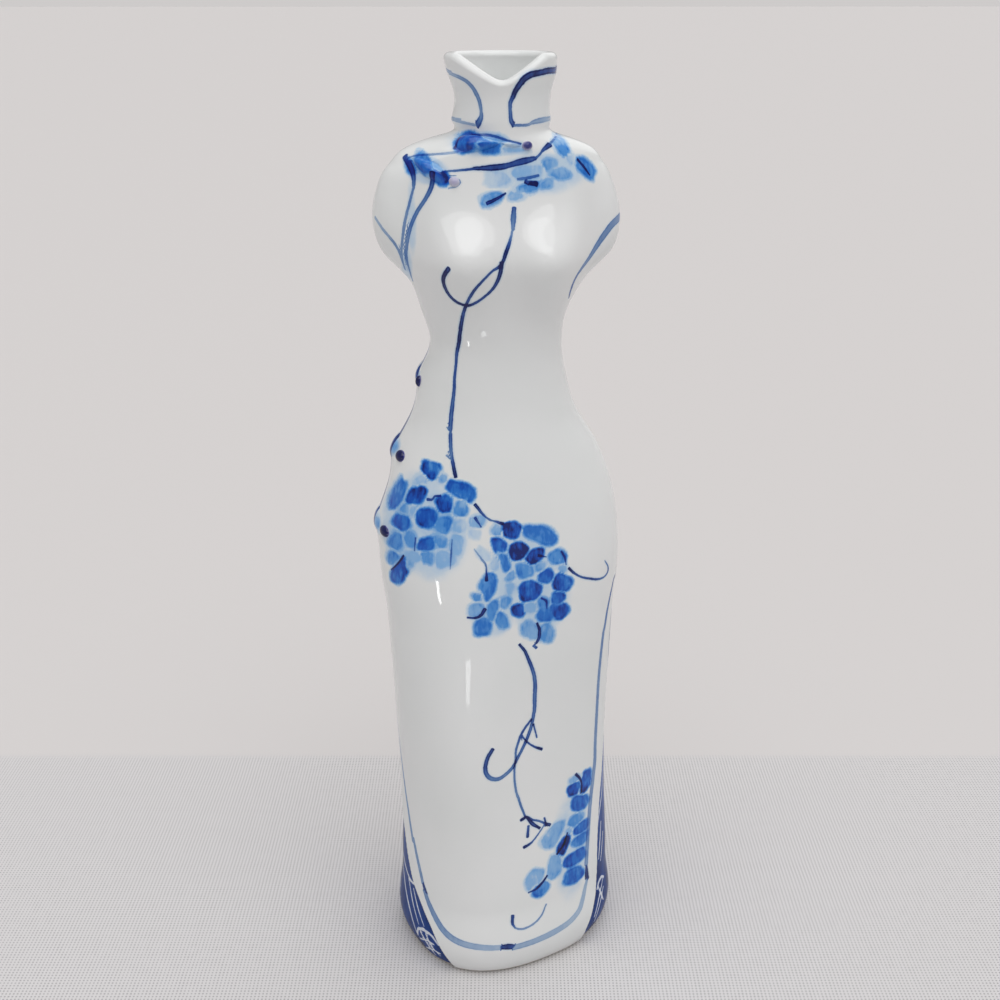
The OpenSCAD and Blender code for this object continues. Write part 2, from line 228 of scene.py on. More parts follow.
class Figure:
    """The skin of the figure, as a function of bearing and height in millimetres."""

    def __init__(self, sections: Sequence[Section], swellings: Sequence[Swelling]) -> None:
        """Keeps the sections as a table, with a tangent for each so that they join smoothly."""
        self.swellings = tuple(swellings)
        self.table = np.array([[getattr(s, f) for f in Section.__dataclass_fields__] for s in sections])
        gap = np.diff(self.table[:, 0])[:, None]
        rise = np.diff(self.table, axis=0) / gap
        inner = (rise[:-1] * gap[1:] + rise[1:] * gap[:-1]) / (gap[:-1] + gap[1:])
        self.tangents = np.vstack([rise[:1], inner, rise[-1:]])
        self.metre = (CAD_HIGH.z - CAD_LOW.z) / FULL_HEIGHT

    def place(self, points: Array) -> Array:
        """Points in millimetres of the figure, as metres of the frame."""
        return points * self.metre + np.array([0.0, 0.0, CAD_LOW.z])

    def section(self, height: Array) -> Array:
        """The section's sizes at each height, as cubic curves through SECTIONS, one column each."""
        z = np.clip(np.asarray(height, float), self.table[0, 0], self.table[-1, 0])
        i = np.clip(np.searchsorted(self.table[:, 0], z, side="right") - 1, 0, len(self.table) - 2)
        low, high = self.table[i], self.table[i + 1]
        gap = high[..., :1] - low[..., :1]
        t = (z[..., None] - low[..., :1]) / gap
        return (
            (2 * t**3 - 3 * t**2 + 1) * low
            + (t**3 - 2 * t**2 + t) * gap * self.tangents[i]
            + (3 * t**2 - 2 * t**3) * high
            + (t**3 - t**2) * gap * self.tangents[i + 1]
        )

    def skin(self, bearing: Array, height: Array, inset: Array = 0.0) -> Array:
        """Points of the skin, or of a face that lies inside it.

        A section is a superellipse: across = a * |sin b|^(2/n) and along = d * |cos b|^(2/n),
        turned about the axis and shifted. The swellings then push it out along Y.

        Args:
            bearing: Degrees round the body.
            height: Millimetres above the foot.
            inset: How far inside the skin each point lies.

        Returns:
            Points in millimetres, with x, y and z last.
        """
        bearing, height, inset = np.broadcast_arrays(
            np.asarray(bearing, float), np.asarray(height, float), np.asarray(inset, float)
        )
        _, wide, front, back, shift_x, shift_y, turn, square = np.moveaxis(self.section(height), -1, 0)
        side, ahead = np.sin(np.radians(bearing)), np.cos(np.radians(bearing))
        power = 2 / square
        across = (wide - inset) * np.sign(side) * np.abs(side) ** power
        along = -(np.where(ahead > 0, front, back) - inset) * np.sign(ahead) * np.abs(ahead) ** power
        cos, sin = np.cos(np.radians(turn)), np.sin(np.radians(turn))
        x = shift_x + across * cos - along * sin
        y = shift_y + across * sin + along * cos
        for s in self.swellings:
            hill = np.exp(-(((x - s.x) / s.spread_x) ** 2) - ((height - s.height) / s.spread_height) ** 2)
            y = y - s.side.value * s.stands_out * hill * smooth(1.6 * s.side.value * ahead)
        x = x - sum(mound.rise(bearing, height) for mound in MOUNDS)
        return np.stack([x, y, height], -1)

    def front_bearing(self, x: Array, height: Array) -> Array:
        """The bearing at which the front of the skin has a given x, found by halving."""
        low = np.full(np.shape(x), -112.0)
        high = np.full(np.shape(x), 92.0)
        for _ in range(30):
            middle = (low + high) / 2
            left = self.skin(middle, height)[..., 0] < x
            low, high = np.where(left, middle, low), np.where(left, high, middle)
        return (low + high) / 2

    def outward(self, bearing: Array, height: Array) -> Array:
        """Unit normals of the skin, from small steps in bearing and height."""
        round_ = self.skin(bearing + 0.2, height) - self.skin(bearing - 0.2, height)
        up = self.skin(bearing, height + 0.1) - self.skin(bearing, height - 0.1)
        return unit(np.cross(round_, up))


@dataclass(frozen=True)
class Slit:
    """The opening at one side of the skirt, which shows the trousers.

    Its front edge starts on the side, as (bearing, height), and goes on where it shows from the
    front, as (x, height). Its back edge is (bearing, height) all the way.
    """

    side_edge: tuple[tuple[float, float], ...]
    front_edge: tuple[tuple[float, float], ...]
    back_edge: tuple[tuple[float, float], ...]

    def front(self, figure: Figure) -> Array:
        """The whole front edge, from the top down, as rows of (bearing, height)."""
        x, height = np.array(self.front_edge, float).T
        return np.vstack([self.side_edge, np.stack([figure.front_bearing(x, height), height], -1)])

    def depth(self, figure: Figure, bearing: Array, height: Array) -> Array:
        """How far inside the opening each point lies, in millimetres, and negative outside it.

        Each edge is a curve bearing = e(z). The distance to it is the step in bearing times the
        arc of one degree, times the cosine of the edge's slope.
        """
        front, back = self.front(figure), np.array(self.back_edge, float)
        middle = (front[-1, 0] + back[-1, 0]) / 2
        bearing = (bearing - middle + 180) % 360 - 180 + middle
        arc = np.linalg.norm(figure.skin(bearing + 0.5, height) - figure.skin(bearing - 0.5, height), axis=-1)
        arc = np.clip(arc, 0.25, 0.7)
        hand = np.sign(front[0, 0])
        depths = []
        for edge, sense in ((front, hand), (back, -hand)):
            at, bearings = flowing(edge[:, ::-1]).T
            order = np.argsort(at)
            here = np.interp(height, at[order], bearings[order])
            slope = (
                np.interp(height + 1, at[order], bearings[order])
                - np.interp(height - 1, at[order], bearings[order])
            ) / 2
            depths.append(sense * (bearing - here) * arc / np.sqrt(1 + (slope * arc) ** 2))
        return np.minimum(np.minimum(*depths), (front[:, 1].max() - height) * 0.5)


def flowing(path: Array, per_span: int = 8) -> Array:
    """A smooth curve through a few points, by Catmull and Rom's formula.

    Args:
        path: The points, one per row, of any width.
        per_span: How many steps there are from one point to the next.

    Returns:
        The points of the curve, one per row.
    """
    path = np.asarray(path, float)
    if len(path) < 3:
        share = np.linspace(0, 1, per_span + 1)[:, None]
        return blend(path[0], path[-1], share)
    ends = np.vstack([2 * path[0] - path[1], path, 2 * path[-1] - path[-2]])
    t = (np.arange(per_span) / per_span)[None, :, None]
    a, b, c, d = (ends[k : len(ends) - 3 + k, None, :] for k in range(4))
    curve = 0.5 * (2 * b + (c - a) * t + (2 * a - 5 * b + 4 * c - d) * t**2 + (3 * b - a - 3 * c + d) * t**3)
    return np.vstack([curve.reshape(-1, path.shape[1]), path[-1:]])


# ---------------------------------------------------------------- the brushwork


class Chart(Enum):
    """How the first number of a painted point is read. The second is its height."""

    FRONT = "x, as seen from the front"
    ROUND = "bearing round the body"


@dataclass(frozen=True)
class Stroke:
    """One pull of a pointed brush, or of the scraper that bares the white under the trousers.

    Widths and tones are spread evenly along the path. A tone is 0 for white and 1 for navy.
    """

    path: tuple[tuple[float, float], ...]
    widths: tuple[float, ...]
    tones: tuple[float, ...]
    layer: int = 0
    chart: Chart = Chart.FRONT

    def laid(self, figure: Figure) -> tuple[Array, Array, Array]:
        """The stroke on the skin: its points, half widths and tones."""
        curve = flowing(np.array(self.path))
        bearing = curve[:, 0]
        if self.chart is Chart.FRONT:
            bearing = figure.front_bearing(curve[:, 0], curve[:, 1])
        share = np.linspace(0, 1, len(curve))
        half = np.interp(share, np.linspace(0, 1, len(self.widths)), self.widths) / 2
        tone = np.interp(share, np.linspace(0, 1, len(self.tones)), self.tones)
        return figure.skin(bearing, curve[:, 1]), half, tone


@dataclass(frozen=True)
class Petal:
    """One dab of a full brush: an oval with its long half axis tilted, and a tone from 0 to 1."""

    x: float
    height: float
    half_long: float
    half_wide: float
    tilt: float
    tone: float


NAVY, DEEP, STRONG, MIDDLE, SOFT, LIGHT, PALE = 1.0, 0.86, 0.72, 0.58, 0.44, 0.32, 0.17

# Dabs: x, height, half length, half width, tilt, tone
HIP_FLOWER = (
    (-17.5, 137.2, 2.1, 1.9, 0, DEEP), (-15.2, 136, 1.2, 0.9, -40, LIGHT),
    (-10.8, 133.2, 3.5, 1.7, -25, STRONG),
    (-21.3, 131, 3.2, 1.4, 50, DEEP), (-25.5, 129.8, 3.8, 1, 68, MIDDLE), (-14.8, 130, 1.8, 1.7, 20, DEEP),
    (-11, 129.2, 1.8, 1.5, 80, SOFT), (-19, 126.3, 2.3, 2.1, 10, STRONG), (-15.2, 125, 2.1, 1.6, 70, SOFT),
    (-24.8, 124.2, 2.2, 1.5, 60, STRONG), (-7.5, 126, 1.8, 1.6, 60, LIGHT),
    (-19.3, 120, 2.2, 1.4, 30, STRONG),
    (-26.3, 119, 2.2, 1.2, 60, SOFT), (-23, 120.5, 1.8, 1.4, 70, LIGHT), (-24, 127, 1.6, 1, 60, LIGHT),
    (-15.2, 117, 2.4, 1.9, 10, PALE), (-19, 117, 1.8, 1.4, 0, LIGHT), (-12.4, 120.5, 2.6, 1.5, 70, PALE),
    (-25.7, 112, 3.6, 1.5, 65, DEEP), (-27.2, 114.4, 1.9, 1, 60, SOFT), (-23.6, 114.6, 1.6, 0.9, 60, LIGHT),
    (-11.3, 125, 1.6, 1.4, 40, PALE), (-16, 121.3, 1.6, 1.4, 0, LIGHT), (-22.2, 116.6, 1.6, 1.1, 30, PALE),
    (-20.2, 134.4, 1.8, 1.1, 45, PALE), (-22.4, 127.6, 1.4, 0.9, 60, PALE), (-7.9, 123.6, 1.4, 1.2, 0, PALE),
)
WAIST_FLOWER = (
    (0.6, 124, 2.3, 1.8, 0, NAVY), (-2.6, 124, 1.4, 1.2, 60, LIGHT), (7.8, 122, 4.4, 1.8, -22, MIDDLE),
    (-2.3, 120.4, 2.2, 1.3, -60, DEEP), (-1.2, 116.4, 2.6, 1, -68, MIDDLE), (2.3, 118.6, 2.1, 1.9, 20, NAVY),
    (6.3, 117, 2, 1.6, 30, NAVY), (12.2, 115.7, 2.3, 1.7, -25, MIDDLE), (13.3, 113, 1.2, 0.9, -70, LIGHT),
    (3.8, 113.7, 2.4, 1.5, -15, SOFT), (7.5, 114, 1.2, 0.9, 0, LIGHT), (9.1, 111.6, 1.7, 1.6, 0, STRONG),
    (5.1, 108.4, 2.6, 2.4, 0, DEEP), (13.3, 109, 2.4, 2.1, -30, DEEP), (12.2, 105.4, 1.9, 1.5, 70, DEEP),
    (12.3, 102, 2.3, 2.2, 0, DEEP), (9.2, 101.6, 2.4, 1.5, -15, MIDDLE), (8.4, 104.8, 1.6, 1.1, -60, SOFT),
    (5, 104.2, 1.6, 1.2, 0, PALE), (2.3, 103.9, 1.6, 1.4, 0, DEEP), (-5.3, 110.4, 3.4, 1.8, 78, MIDDLE),
    (-7.2, 108.2, 1.5, 1.2, 30, SOFT), (-7.9, 104.6, 2, 1.7, 0, LIGHT), (-6.4, 100.4, 2.2, 1.9, 80, MIDDLE),
    (-4, 104.4, 2.6, 1.2, 80, SOFT), (-1.9, 101.6, 2.2, 1.3, -65, SOFT), (-1, 106.2, 1.5, 1, 60, LIGHT),
    (0.4, 109.8, 1.6, 0.8, 90, PALE), (5.3, 98.2, 2.8, 1.7, -50, LIGHT), (9.2, 96.8, 2.6, 1.7, -65, SOFT),
    (-3.4, 116, 1.6, 1.2, 70, PALE), (-5.8, 118.2, 2, 0.8, -45, PALE), (0.4, 112.6, 1.5, 0.9, 60, LIGHT),
)
HEM_FLOWER = (
    (17.4, 50.2, 1.8, 1.7, 30, DEEP), (20.9, 50.6, 3, 1.4, 82, DEEP), (17.6, 52.8, 1.4, 1, 0, LIGHT),
    (19.3, 45, 2.7, 2, -35, STRONG), (18.2, 40.6, 2.3, 1.6, 20, SOFT), (19.6, 37.6, 2, 1.7, 0, STRONG),
    (19.5, 34, 2.1, 1.7, 0, MIDDLE), (17.9, 29.4, 3.2, 1.9, 15, STRONG), (17.6, 24.2, 2.7, 2.4, 0, STRONG),
    (11.6, 38.8, 4, 2, 55, LIGHT), (14.6, 34.6, 2.5, 1.3, 62, NAVY), (12, 29.2, 3.5, 1.8, 88, LIGHT),
    (6.5, 27.4, 2.8, 2.2, 60, LIGHT), (8.2, 23.9, 2.3, 1.9, 0, MIDDLE), (16.2, 38.4, 1, 0.8, 0, PALE),
)
SHOULDER_FLOWER = (
    (10, 206.8, 1.5, 1.3, 0, LIGHT), (12.2, 204.9, 2.4, 1.1, -15, LIGHT), (9.1, 202.8, 1.5, 0.8, 20, LIGHT),
    (13, 210.3, 2.5, 1.1, -48, SOFT), (18.3, 205.8, 3, 1.4, -42, MIDDLE), (5, 202.1, 2.8, 0.8, 12, SOFT),
    (2.1, 200.6, 1.8, 0.8, 10, LIGHT), (-3.1, 200, 2.5, 1.2, 20, SOFT), (-1.8, 204, 2.6, 1.6, 0, PALE),
    (5, 205.2, 3.4, 1.6, 0, PALE), (14.9, 207.8, 1.5, 1, -50, PALE),
)
COLLAR_FROG_PAINT = (
    (-7.6, 211.5, 3.1, 1.7, 8, DEEP), (-3.6, 210.9, 3.6, 1.1, -4, STRONG), (-2.2, 212.4, 2.6, 0.8, -8, LIGHT),
    (1.6, 210.5, 3, 0.8, 0, PALE),
)
SHOULDER_FROG_PAINT = (
    (-14.2, 204.4, 1.7, 1.3, -40, DEEP), (-17.4, 207, 2.4, 1.6, -35, MIDDLE),
    (-20.4, 206.4, 1.5, 0.9, -70, MIDDLE),
    (-14.8, 206.4, 1.6, 0.6, -50, PALE),
)

# Brush lines: the path, its widths, its tones, and the layer it is painted in
COLLAR_LINES = (
    Stroke(((12.2, 226.2), (10, 226.3), (8, 226), (6, 225.7), (4.5, 225), (3.5, 224), (2.5, 222.7),
            (1.8, 221.2),
            (1.2, 219.8), (1.2, 218), (1.4, 216.2), (1.9, 215.4)), (1.1, 1.1, 1.2, 0.9, 0.6, 0.9),
            (0.9, 1, 1, 1, 0.6, 0.95)),
    Stroke(((-11.4, 225.7), (-9.5, 225), (-8, 224.2), (-6.8, 223), (-5.9, 221.5), (-5.3, 220), (-5, 218),
            (-5.1, 216.7), (-5.8, 215.4)), (0.7, 0.8, 0.8, 0.6, 1.2), (0.35, 0.5, 0.55, 0.5, 0.9)),
    Stroke(((-11.2, 216), (-9, 215.6), (-6.4, 215.2)), (0.6, 0.5), (0.3, 0.35)),
    Stroke(((2.3, 215.2), (5, 215.2), (6.5, 215.7), (9, 216), (11.4, 216.1)), (0.5, 0.5, 1, 0.8),
           (0.6, 0.4, 0.4, 0.2)),
)
YOKE_LINES = (
    Stroke(((-7, 206.3), (-4, 206.4), (-1, 206.6), (1, 207), (3, 207.5), (5, 207.9), (6.8, 208.3)),
           (0.6, 1.2, 1, 1.3, 0.8), (0.9, 0.95, 0.8, 0.95, 0.85)),
    Stroke(((6.8, 208.3), (7.6, 208.9), (8.5, 209.9), (10, 210.9)), (0.5, 0.4, 1.1), (0.6, 0.7, 1)),
    Stroke(((10.4, 211.3), (11.4, 212), (12.6, 212.7)), (0.5, 0.4), (0.5, 0.3)),
    Stroke(((-13.2, 205.6), (-10, 205.9), (-7, 206.2)), (0.4, 0.5), (0.5, 0.8)),
    Stroke(((-21, 208), (-19, 208.7), (-16, 209), (-13, 209.3), (-10.6, 209.6)), (0.4, 0.5), (0.45, 0.35)),
    Stroke(((-10.8, 210.6), (-9.4, 212.2), (-7, 213), (-4, 213.2), (-2, 212.9), (-0.5, 212.4), (1.2, 211.9),
            (3.2, 211.4)),
           (0.5, 0.5, 0.4), (0.85, 0.6, 0.7)),
    Stroke(((-21.4, 208), (-20.4, 206), (-19.9, 204), (-20, 202)), (1.3, 1.1, 0.6), (0.85, 0.9, 0.6)),
    Stroke(((-20, 202), (-21, 198.6), (-22, 195), (-22.7, 191), (-23, 188), (-22.8, 185.5)), (0.5, 0.6, 0.4),
           (0.55, 0.5, 0.4)),
    Stroke(((-15.6, 204.6), (-15.8, 203.8), (-16.5, 201.5), (-18, 199), (-19.3, 197), (-20.3, 195),
            (-21.2, 192.5),
            (-21.8, 189.5), (-22, 187), (-21.7, 185), (-21.2, 183), (-20.6, 180.6)),
            (1.1, 0.8, 0.8, 0.6, 0.4),
           (0.95, 0.65, 0.6, 0.5, 0.4)),
    Stroke(((-28.5, 194.6), (-27, 192.5), (-25, 190.2), (-23.8, 188.3), (-23, 186), (-22.3, 183.5)),
           (0.7, 0.6, 0.4),
           (0.3, 0.45, 0.4)),
    Stroke(((28, 194.2), (25.5, 193), (23.5, 191), (21.5, 188.5), (19.5, 186), (17.5, 184), (16.3, 182.5),
            (15.6, 180.8), (15.2, 178.5), (15.2, 176.8)), (1.7, 1.3, 1.1, 0.8, 0.4),
            (0.5, 0.55, 0.6, 0.7, 0.85)),
    Stroke(((-12.2, 204.4), (-10.9, 204.2), (-10, 203.4), (-11, 202.5), (-12.2, 202.2)), (0.4, 0.5, 0.3),
           (0.35, 0.5, 0.3)),
    Stroke(((16.8, 207.3), (18, 206), (19.3, 204.3)), (0.5, 0.6, 0.3), (0.95, 0.9)),
    Stroke(((-3.8, 199.2), (-2, 200), (-0.4, 200.9)), (0.7, 0.6, 0.4), (0.95, 0.85)),
    Stroke(((3, 204), (5, 204.2), (7, 204.6)), (0.5, 0.6, 0.5), (0.45, 0.6)),
    Stroke(((4.6, 203.4), (4.8, 203.3)), (0.9, 0.9), (0.95, 0.95)),
    Stroke(((6.1, 203), (6.5, 202.9)), (0.9, 0.9), (1, 1)),
    Stroke(((1.7, 197.6), (1.5, 195.8), (1.4, 194)), (0.8, 1.1, 0.7), (0.75, 0.55)),
)
BUST_VINE = (
    Stroke(((1, 192.6), (0.6, 191.2), (-0.3, 188.9), (-1.5, 186.2), (-3.5, 184.9), (-5, 183.5), (-6.8, 181.5),
            (-8, 179.5), (-8.8, 177.5), (-9.5, 175), (-10, 172), (-10.3, 169), (-10.6, 166.5), (-11, 164.5),
            (-11.2, 162), (-11.6, 159), (-11.8, 156), (-12.2, 153), (-12.6, 150), (-12.9, 146), (-12.9, 142),
            (-12.5, 139), (-12.1, 136.7)),
           (0.5, 0.9, 0.6, 0.8, 0.7, 0.9, 1, 0.7, 0.8, 1.1, 0.9, 0.9),
           (0.5, 0.95, 0.75, 0.9, 0.85, 0.95, 1, 0.8, 0.75, 0.8, 0.7, 1)),
    Stroke(((-1.4, 186.2), (-1.6, 184.5), (-2.3, 182.3), (-3.5, 180.3), (-5.5, 178.4), (-7.5, 177),
            (-9, 176.6),
            (-11, 177.3), (-12.5, 178.6), (-13.6, 180.4), (-14.2, 182.5), (-14, 184), (-13.3, 185.3)),
           (1, 0.9, 0.7, 0.8, 0.9, 1.1, 1.1), (1, 0.9, 0.85, 0.95, 1, 1, 1), 1),
    Stroke(((-13.6, 147.2), (-12.8, 146.2)), (0.3, 0.5), (0.5, 0.6)),
    Stroke(((-13.9, 140.9), (-13.1, 140.2)), (0.4, 0.4), (0.5, 0.5)),
)
CLUSTER_VEINS = (
    Stroke(((-7.5, 129.9), (-6, 128), (-4.5, 126.7), (-3, 126.2), (-1.7, 125.7)), (0.9, 0.6, 0.5, 0.9),
           (0.95, 0.7, 0.6, 1)),
    Stroke(((-18.4, 130.5), (-17.6, 130.6), (-17, 131.4), (-16, 131.6)), (0.8, 0.5, 0.7), (0.8, 0.7, 0.85)),
    Stroke(((-7.6, 126.8), (-6.6, 125.2)), (0.8, 0.4), (0.75, 0.7)),
    Stroke(((-27.6, 111.6), (-26, 114), (-24.9, 115.9)), (0.4, 0.6, 0.7), (0.9, 0.95, 1)),
    Stroke(((-13.3, 121.5), (-13.6, 118.5), (-13.9, 115)), (0.3, 0.6, 0.3), (0.4, 0.55, 0.35)),
    Stroke(((-21.8, 120.8), (-22.1, 118.4)), (0.5, 0.4), (0.6, 0.55)),
    Stroke(((7.6, 116.9), (8.9, 116.5)), (0.8, 0.3), (0.95, 0.8)),
    Stroke(((13.2, 116.8), (13.9, 115.4), (14.2, 113.8)), (0.6, 0.7, 0.3), (0.85, 0.8, 0.6)),
    Stroke(((8.2, 106), (9.2, 105.2), (9.3, 103.6)), (0.5, 0.7, 0.4), (0.75, 0.85, 0.6)),
    Stroke(((-8, 119.4), (-6.5, 117.3), (-5.5, 115.7), (-5.4, 113.5), (-5.4, 112.4)), (0.4, 0.6, 0.5, 0.9),
           (0.3, 0.4, 0.75, 1)),
    Stroke(((-9.8, 102.8), (-8.2, 102.7), (-6.9, 103.3), (-6.1, 104.5)), (0.5, 0.8, 1), (0.85, 0.95, 1)),
    Stroke(((7, 99.5), (7.5, 98), (7.4, 96), (6.9, 94.9)), (0.7, 1, 0.8), (1, 0.95, 0.9)),
    Stroke(((6.3, 93.8), (6.5, 93.6)), (0.8, 0.8), (0.75, 0.75)),
    Stroke(((15.2, 112.2), (16.5, 110.8), (18.5, 109.3), (20.8, 108.2), (23, 107.2), (25, 107), (26, 107.8),
            (26, 109.2), (25.1, 111)), (0.8, 0.6, 0.7, 0.6, 0.7, 0.4), (1, 0.75, 0.85, 0.6, 0.75, 0.5)),
    Stroke(((18.1, 53.9), (19.2, 52.2), (19.7, 50.2), (19.6, 48.3)), (0.9, 0.7, 0.7), (1, 0.95, 0.95)),
    Stroke(((9.8, 27), (8.8, 25.8), (7, 24.3), (5.2, 23.9)), (0.6, 0.9, 0.5), (1, 0.95, 0.8)),
    Stroke(((13, 33), (14.6, 34.8), (15.6, 37.6)), (0.7, 0.9, 0.5), (1, 1, 0.9)),
)
SKIRT_VINE = (
    Stroke(((2.7, 94.6), (3.8, 93), (4.6, 91), (5.5, 88.5), (6.2, 86), (6.5, 83), (6.4, 80), (6.4, 77),
            (6, 74),
            (5.5, 71.5), (4.6, 69), (3.5, 66.5), (2.2, 64), (0.8, 61.5), (-0.8, 60), (-2.8, 59), (-4.8, 59.5),
            (-6, 61), (-6.3, 63), (-5.7, 65.5), (-4.6, 67.3)),
           (0.7, 0.9, 1, 1.1, 0.9, 0.9, 0.8, 1, 1.2, 1.1, 1),
           (1, 0.85, 0.75, 0.7, 0.75, 0.75, 0.7, 0.6, 0.65, 0.9, 1)),
    Stroke(((5.4, 73.6), (4, 71.8), (2.9, 70), (2.2, 68), (1.6, 66), (1.5, 63.5), (1.2, 60.5), (1.3, 57),
            (1.7, 54),
            (2.3, 52), (3, 49.5), (4, 46.5)), (0.6, 0.7, 0.6, 0.6, 0.7, 0.6),
            (0.8, 0.75, 0.6, 0.6, 0.55, 0.7), 1),
    Stroke(((6.2, 72), (6.6, 70.4), (7, 68.6)), (0.5, 0.4), (0.8, 0.7), 1),
    Stroke(((3.2, 69.6), (4.6, 67.6), (6.4, 65.9), (8.1, 64.9)), (0.4, 0.5, 0.8), (0.7, 0.75, 1), 1),
    Stroke(((3.3, 45.7), (4.5, 46.1), (6, 44.9), (7.8, 44), (9.5, 42.8), (10.4, 42.2)), (0.9, 0.6, 0.6, 0.9),
           (1, 0.7, 0.7, 0.95)),
    Stroke(((9.3, 44.2), (9.7, 42.4)), (0.5, 0.5), (0.85, 0.8), 1),
    Stroke(((4.6, 45.8), (6, 43.7), (7.7, 42.1)), (0.7, 1.1, 0.7), (0.95, 0.9, 1), 1),
    Stroke(((4.9, 43), (4.7, 40.6)), (0.7, 0.8), (0.7, 1)),
    Stroke(((9.3, 42.6), (8, 40.8), (6.3, 38.8), (5.2, 38), (4.1, 37.6)), (0.4, 0.5, 0.9), (0.6, 0.7, 1)),
    Stroke(((0.6, 17.6), (0.5, 15.9), (1.2, 14.4)), (0.9, 0.8, 0.5), (0.9, 0.9, 0.6)),
    Stroke(((1.2, 14.4), (2.4, 13.8), (4, 13.6), (6.5, 14.3), (8.5, 15.9), (9.7, 18.4)), (0.5, 0.6, 0.6, 0.4),
           (0.45, 0.4, 0.45, 0.5)),
)
HEM_BORDER = (
    Stroke(((29.4, 104.4), (28.4, 104.2), (27.7, 102), (26.9, 99), (26.2, 96), (25.7, 93), (25.1, 90),
            (24.3, 80),
            (24, 70), (23.7, 60), (23.7, 55), (23.2, 50), (22.6, 45), (22.2, 40), (21.9, 35), (21.6, 30),
            (21.4, 25.5)),
           (0.5, 0.8, 0.9, 1, 1.1, 1.2, 1.1, 1.1), (0.9, 0.8, 0.66, 0.56, 0.52, 0.5, 0.48, 0.44)),
    Stroke(((21.5, 25), (21.6, 22.6), (21.8, 20.6)), (0.6, 1.1, 1.2), (0.8, 1, 1)),
    Stroke(((21.8, 20.6), (21.2, 18.4), (20.5, 15.6), (19.5, 13), (17.5, 11.3), (15, 10.3), (11, 9.5), (6, 9),
            (1, 8.8)),
           (0.8, 1.2, 1.4, 1.5, 1.3), (0.35, 0.3, 0.3, 0.35, 0.4)),
    Stroke(((-2.6, 9.5), (-0.8, 9.4), (0.8, 9)), (1, 1.4, 1.1), (0.95, 1, 0.9)),
    Stroke(((-2.6, 9.5), (-5, 9.6), (-8, 9.9), (-12, 10.5), (-15, 11.4), (-17.5, 13.1), (-19.5, 15.9),
            (-21, 19),
            (-21.8, 21.4)), (1.2, 1.4, 1.5, 1.4, 1.2), (0.3, 0.35, 0.45, 0.5, 0.55)),
    Stroke(((-21.6, 21.3), (-22.2, 23.7)), (1.1, 0.7), (1, 0.9)),
    Stroke(((-22.3, 23.8), (-22.7, 26), (-23.5, 30), (-24.2, 34)), (1, 1, 1),
           (0.5, 0.5, 0.5)),
    Stroke(((-84.4, 34), (-88.5, 40), (-93.5, 50), (-97.5, 60), (-99.5, 70), (-100, 80), (-100.2, 90),
            (-100.4, 98)),
           (1, 0.9, 0.9, 0.8, 0.8), (0.5, 0.55, 0.7, 0.85, 0.9), 0, Chart.ROUND),
)
# Where the front and the back of the skirt end at each side, as (bearing, height)
LEFT_SLIT = Slit(
    ((68, 106),),
    ((28.5, 100), (27.6, 80), (26.8, 60), (26.3, 50), (25.6, 42), (25.2, 35), (25, 28), (25, 20), (24.7, 15),
     (24, 11.5), (23, 8), (22, 5.5), (21, 2.5), (20, 0.5)),
    ((70, 106), (80, 98), (92, 80), (102, 60), (108, 46), (114, 34), (120, 24), (128, 15), (136, 8), (145, 2),
     (148, 0)),
)
RIGHT_SLIT = Slit(
    ((-113, 106), (-110, 96), (-108, 80), (-106, 62), (-103, 46), (-99, 38)),
    ((-26.3, 32), (-25.5, 25), (-24.5, 20.5), (-22.5, 16), (-20.5, 12), (-18.5, 7.5), (-16.5, 4), (-15, 1.5),
     (-14, 0.3)),
    ((-115, 106), (-124, 96), (-132, 80), (-140, 62), (-146, 46), (-152, 34), (-158, 24), (-165, 15),
     (-172, 8),
     (-178, 2), (-179, 0)),
)

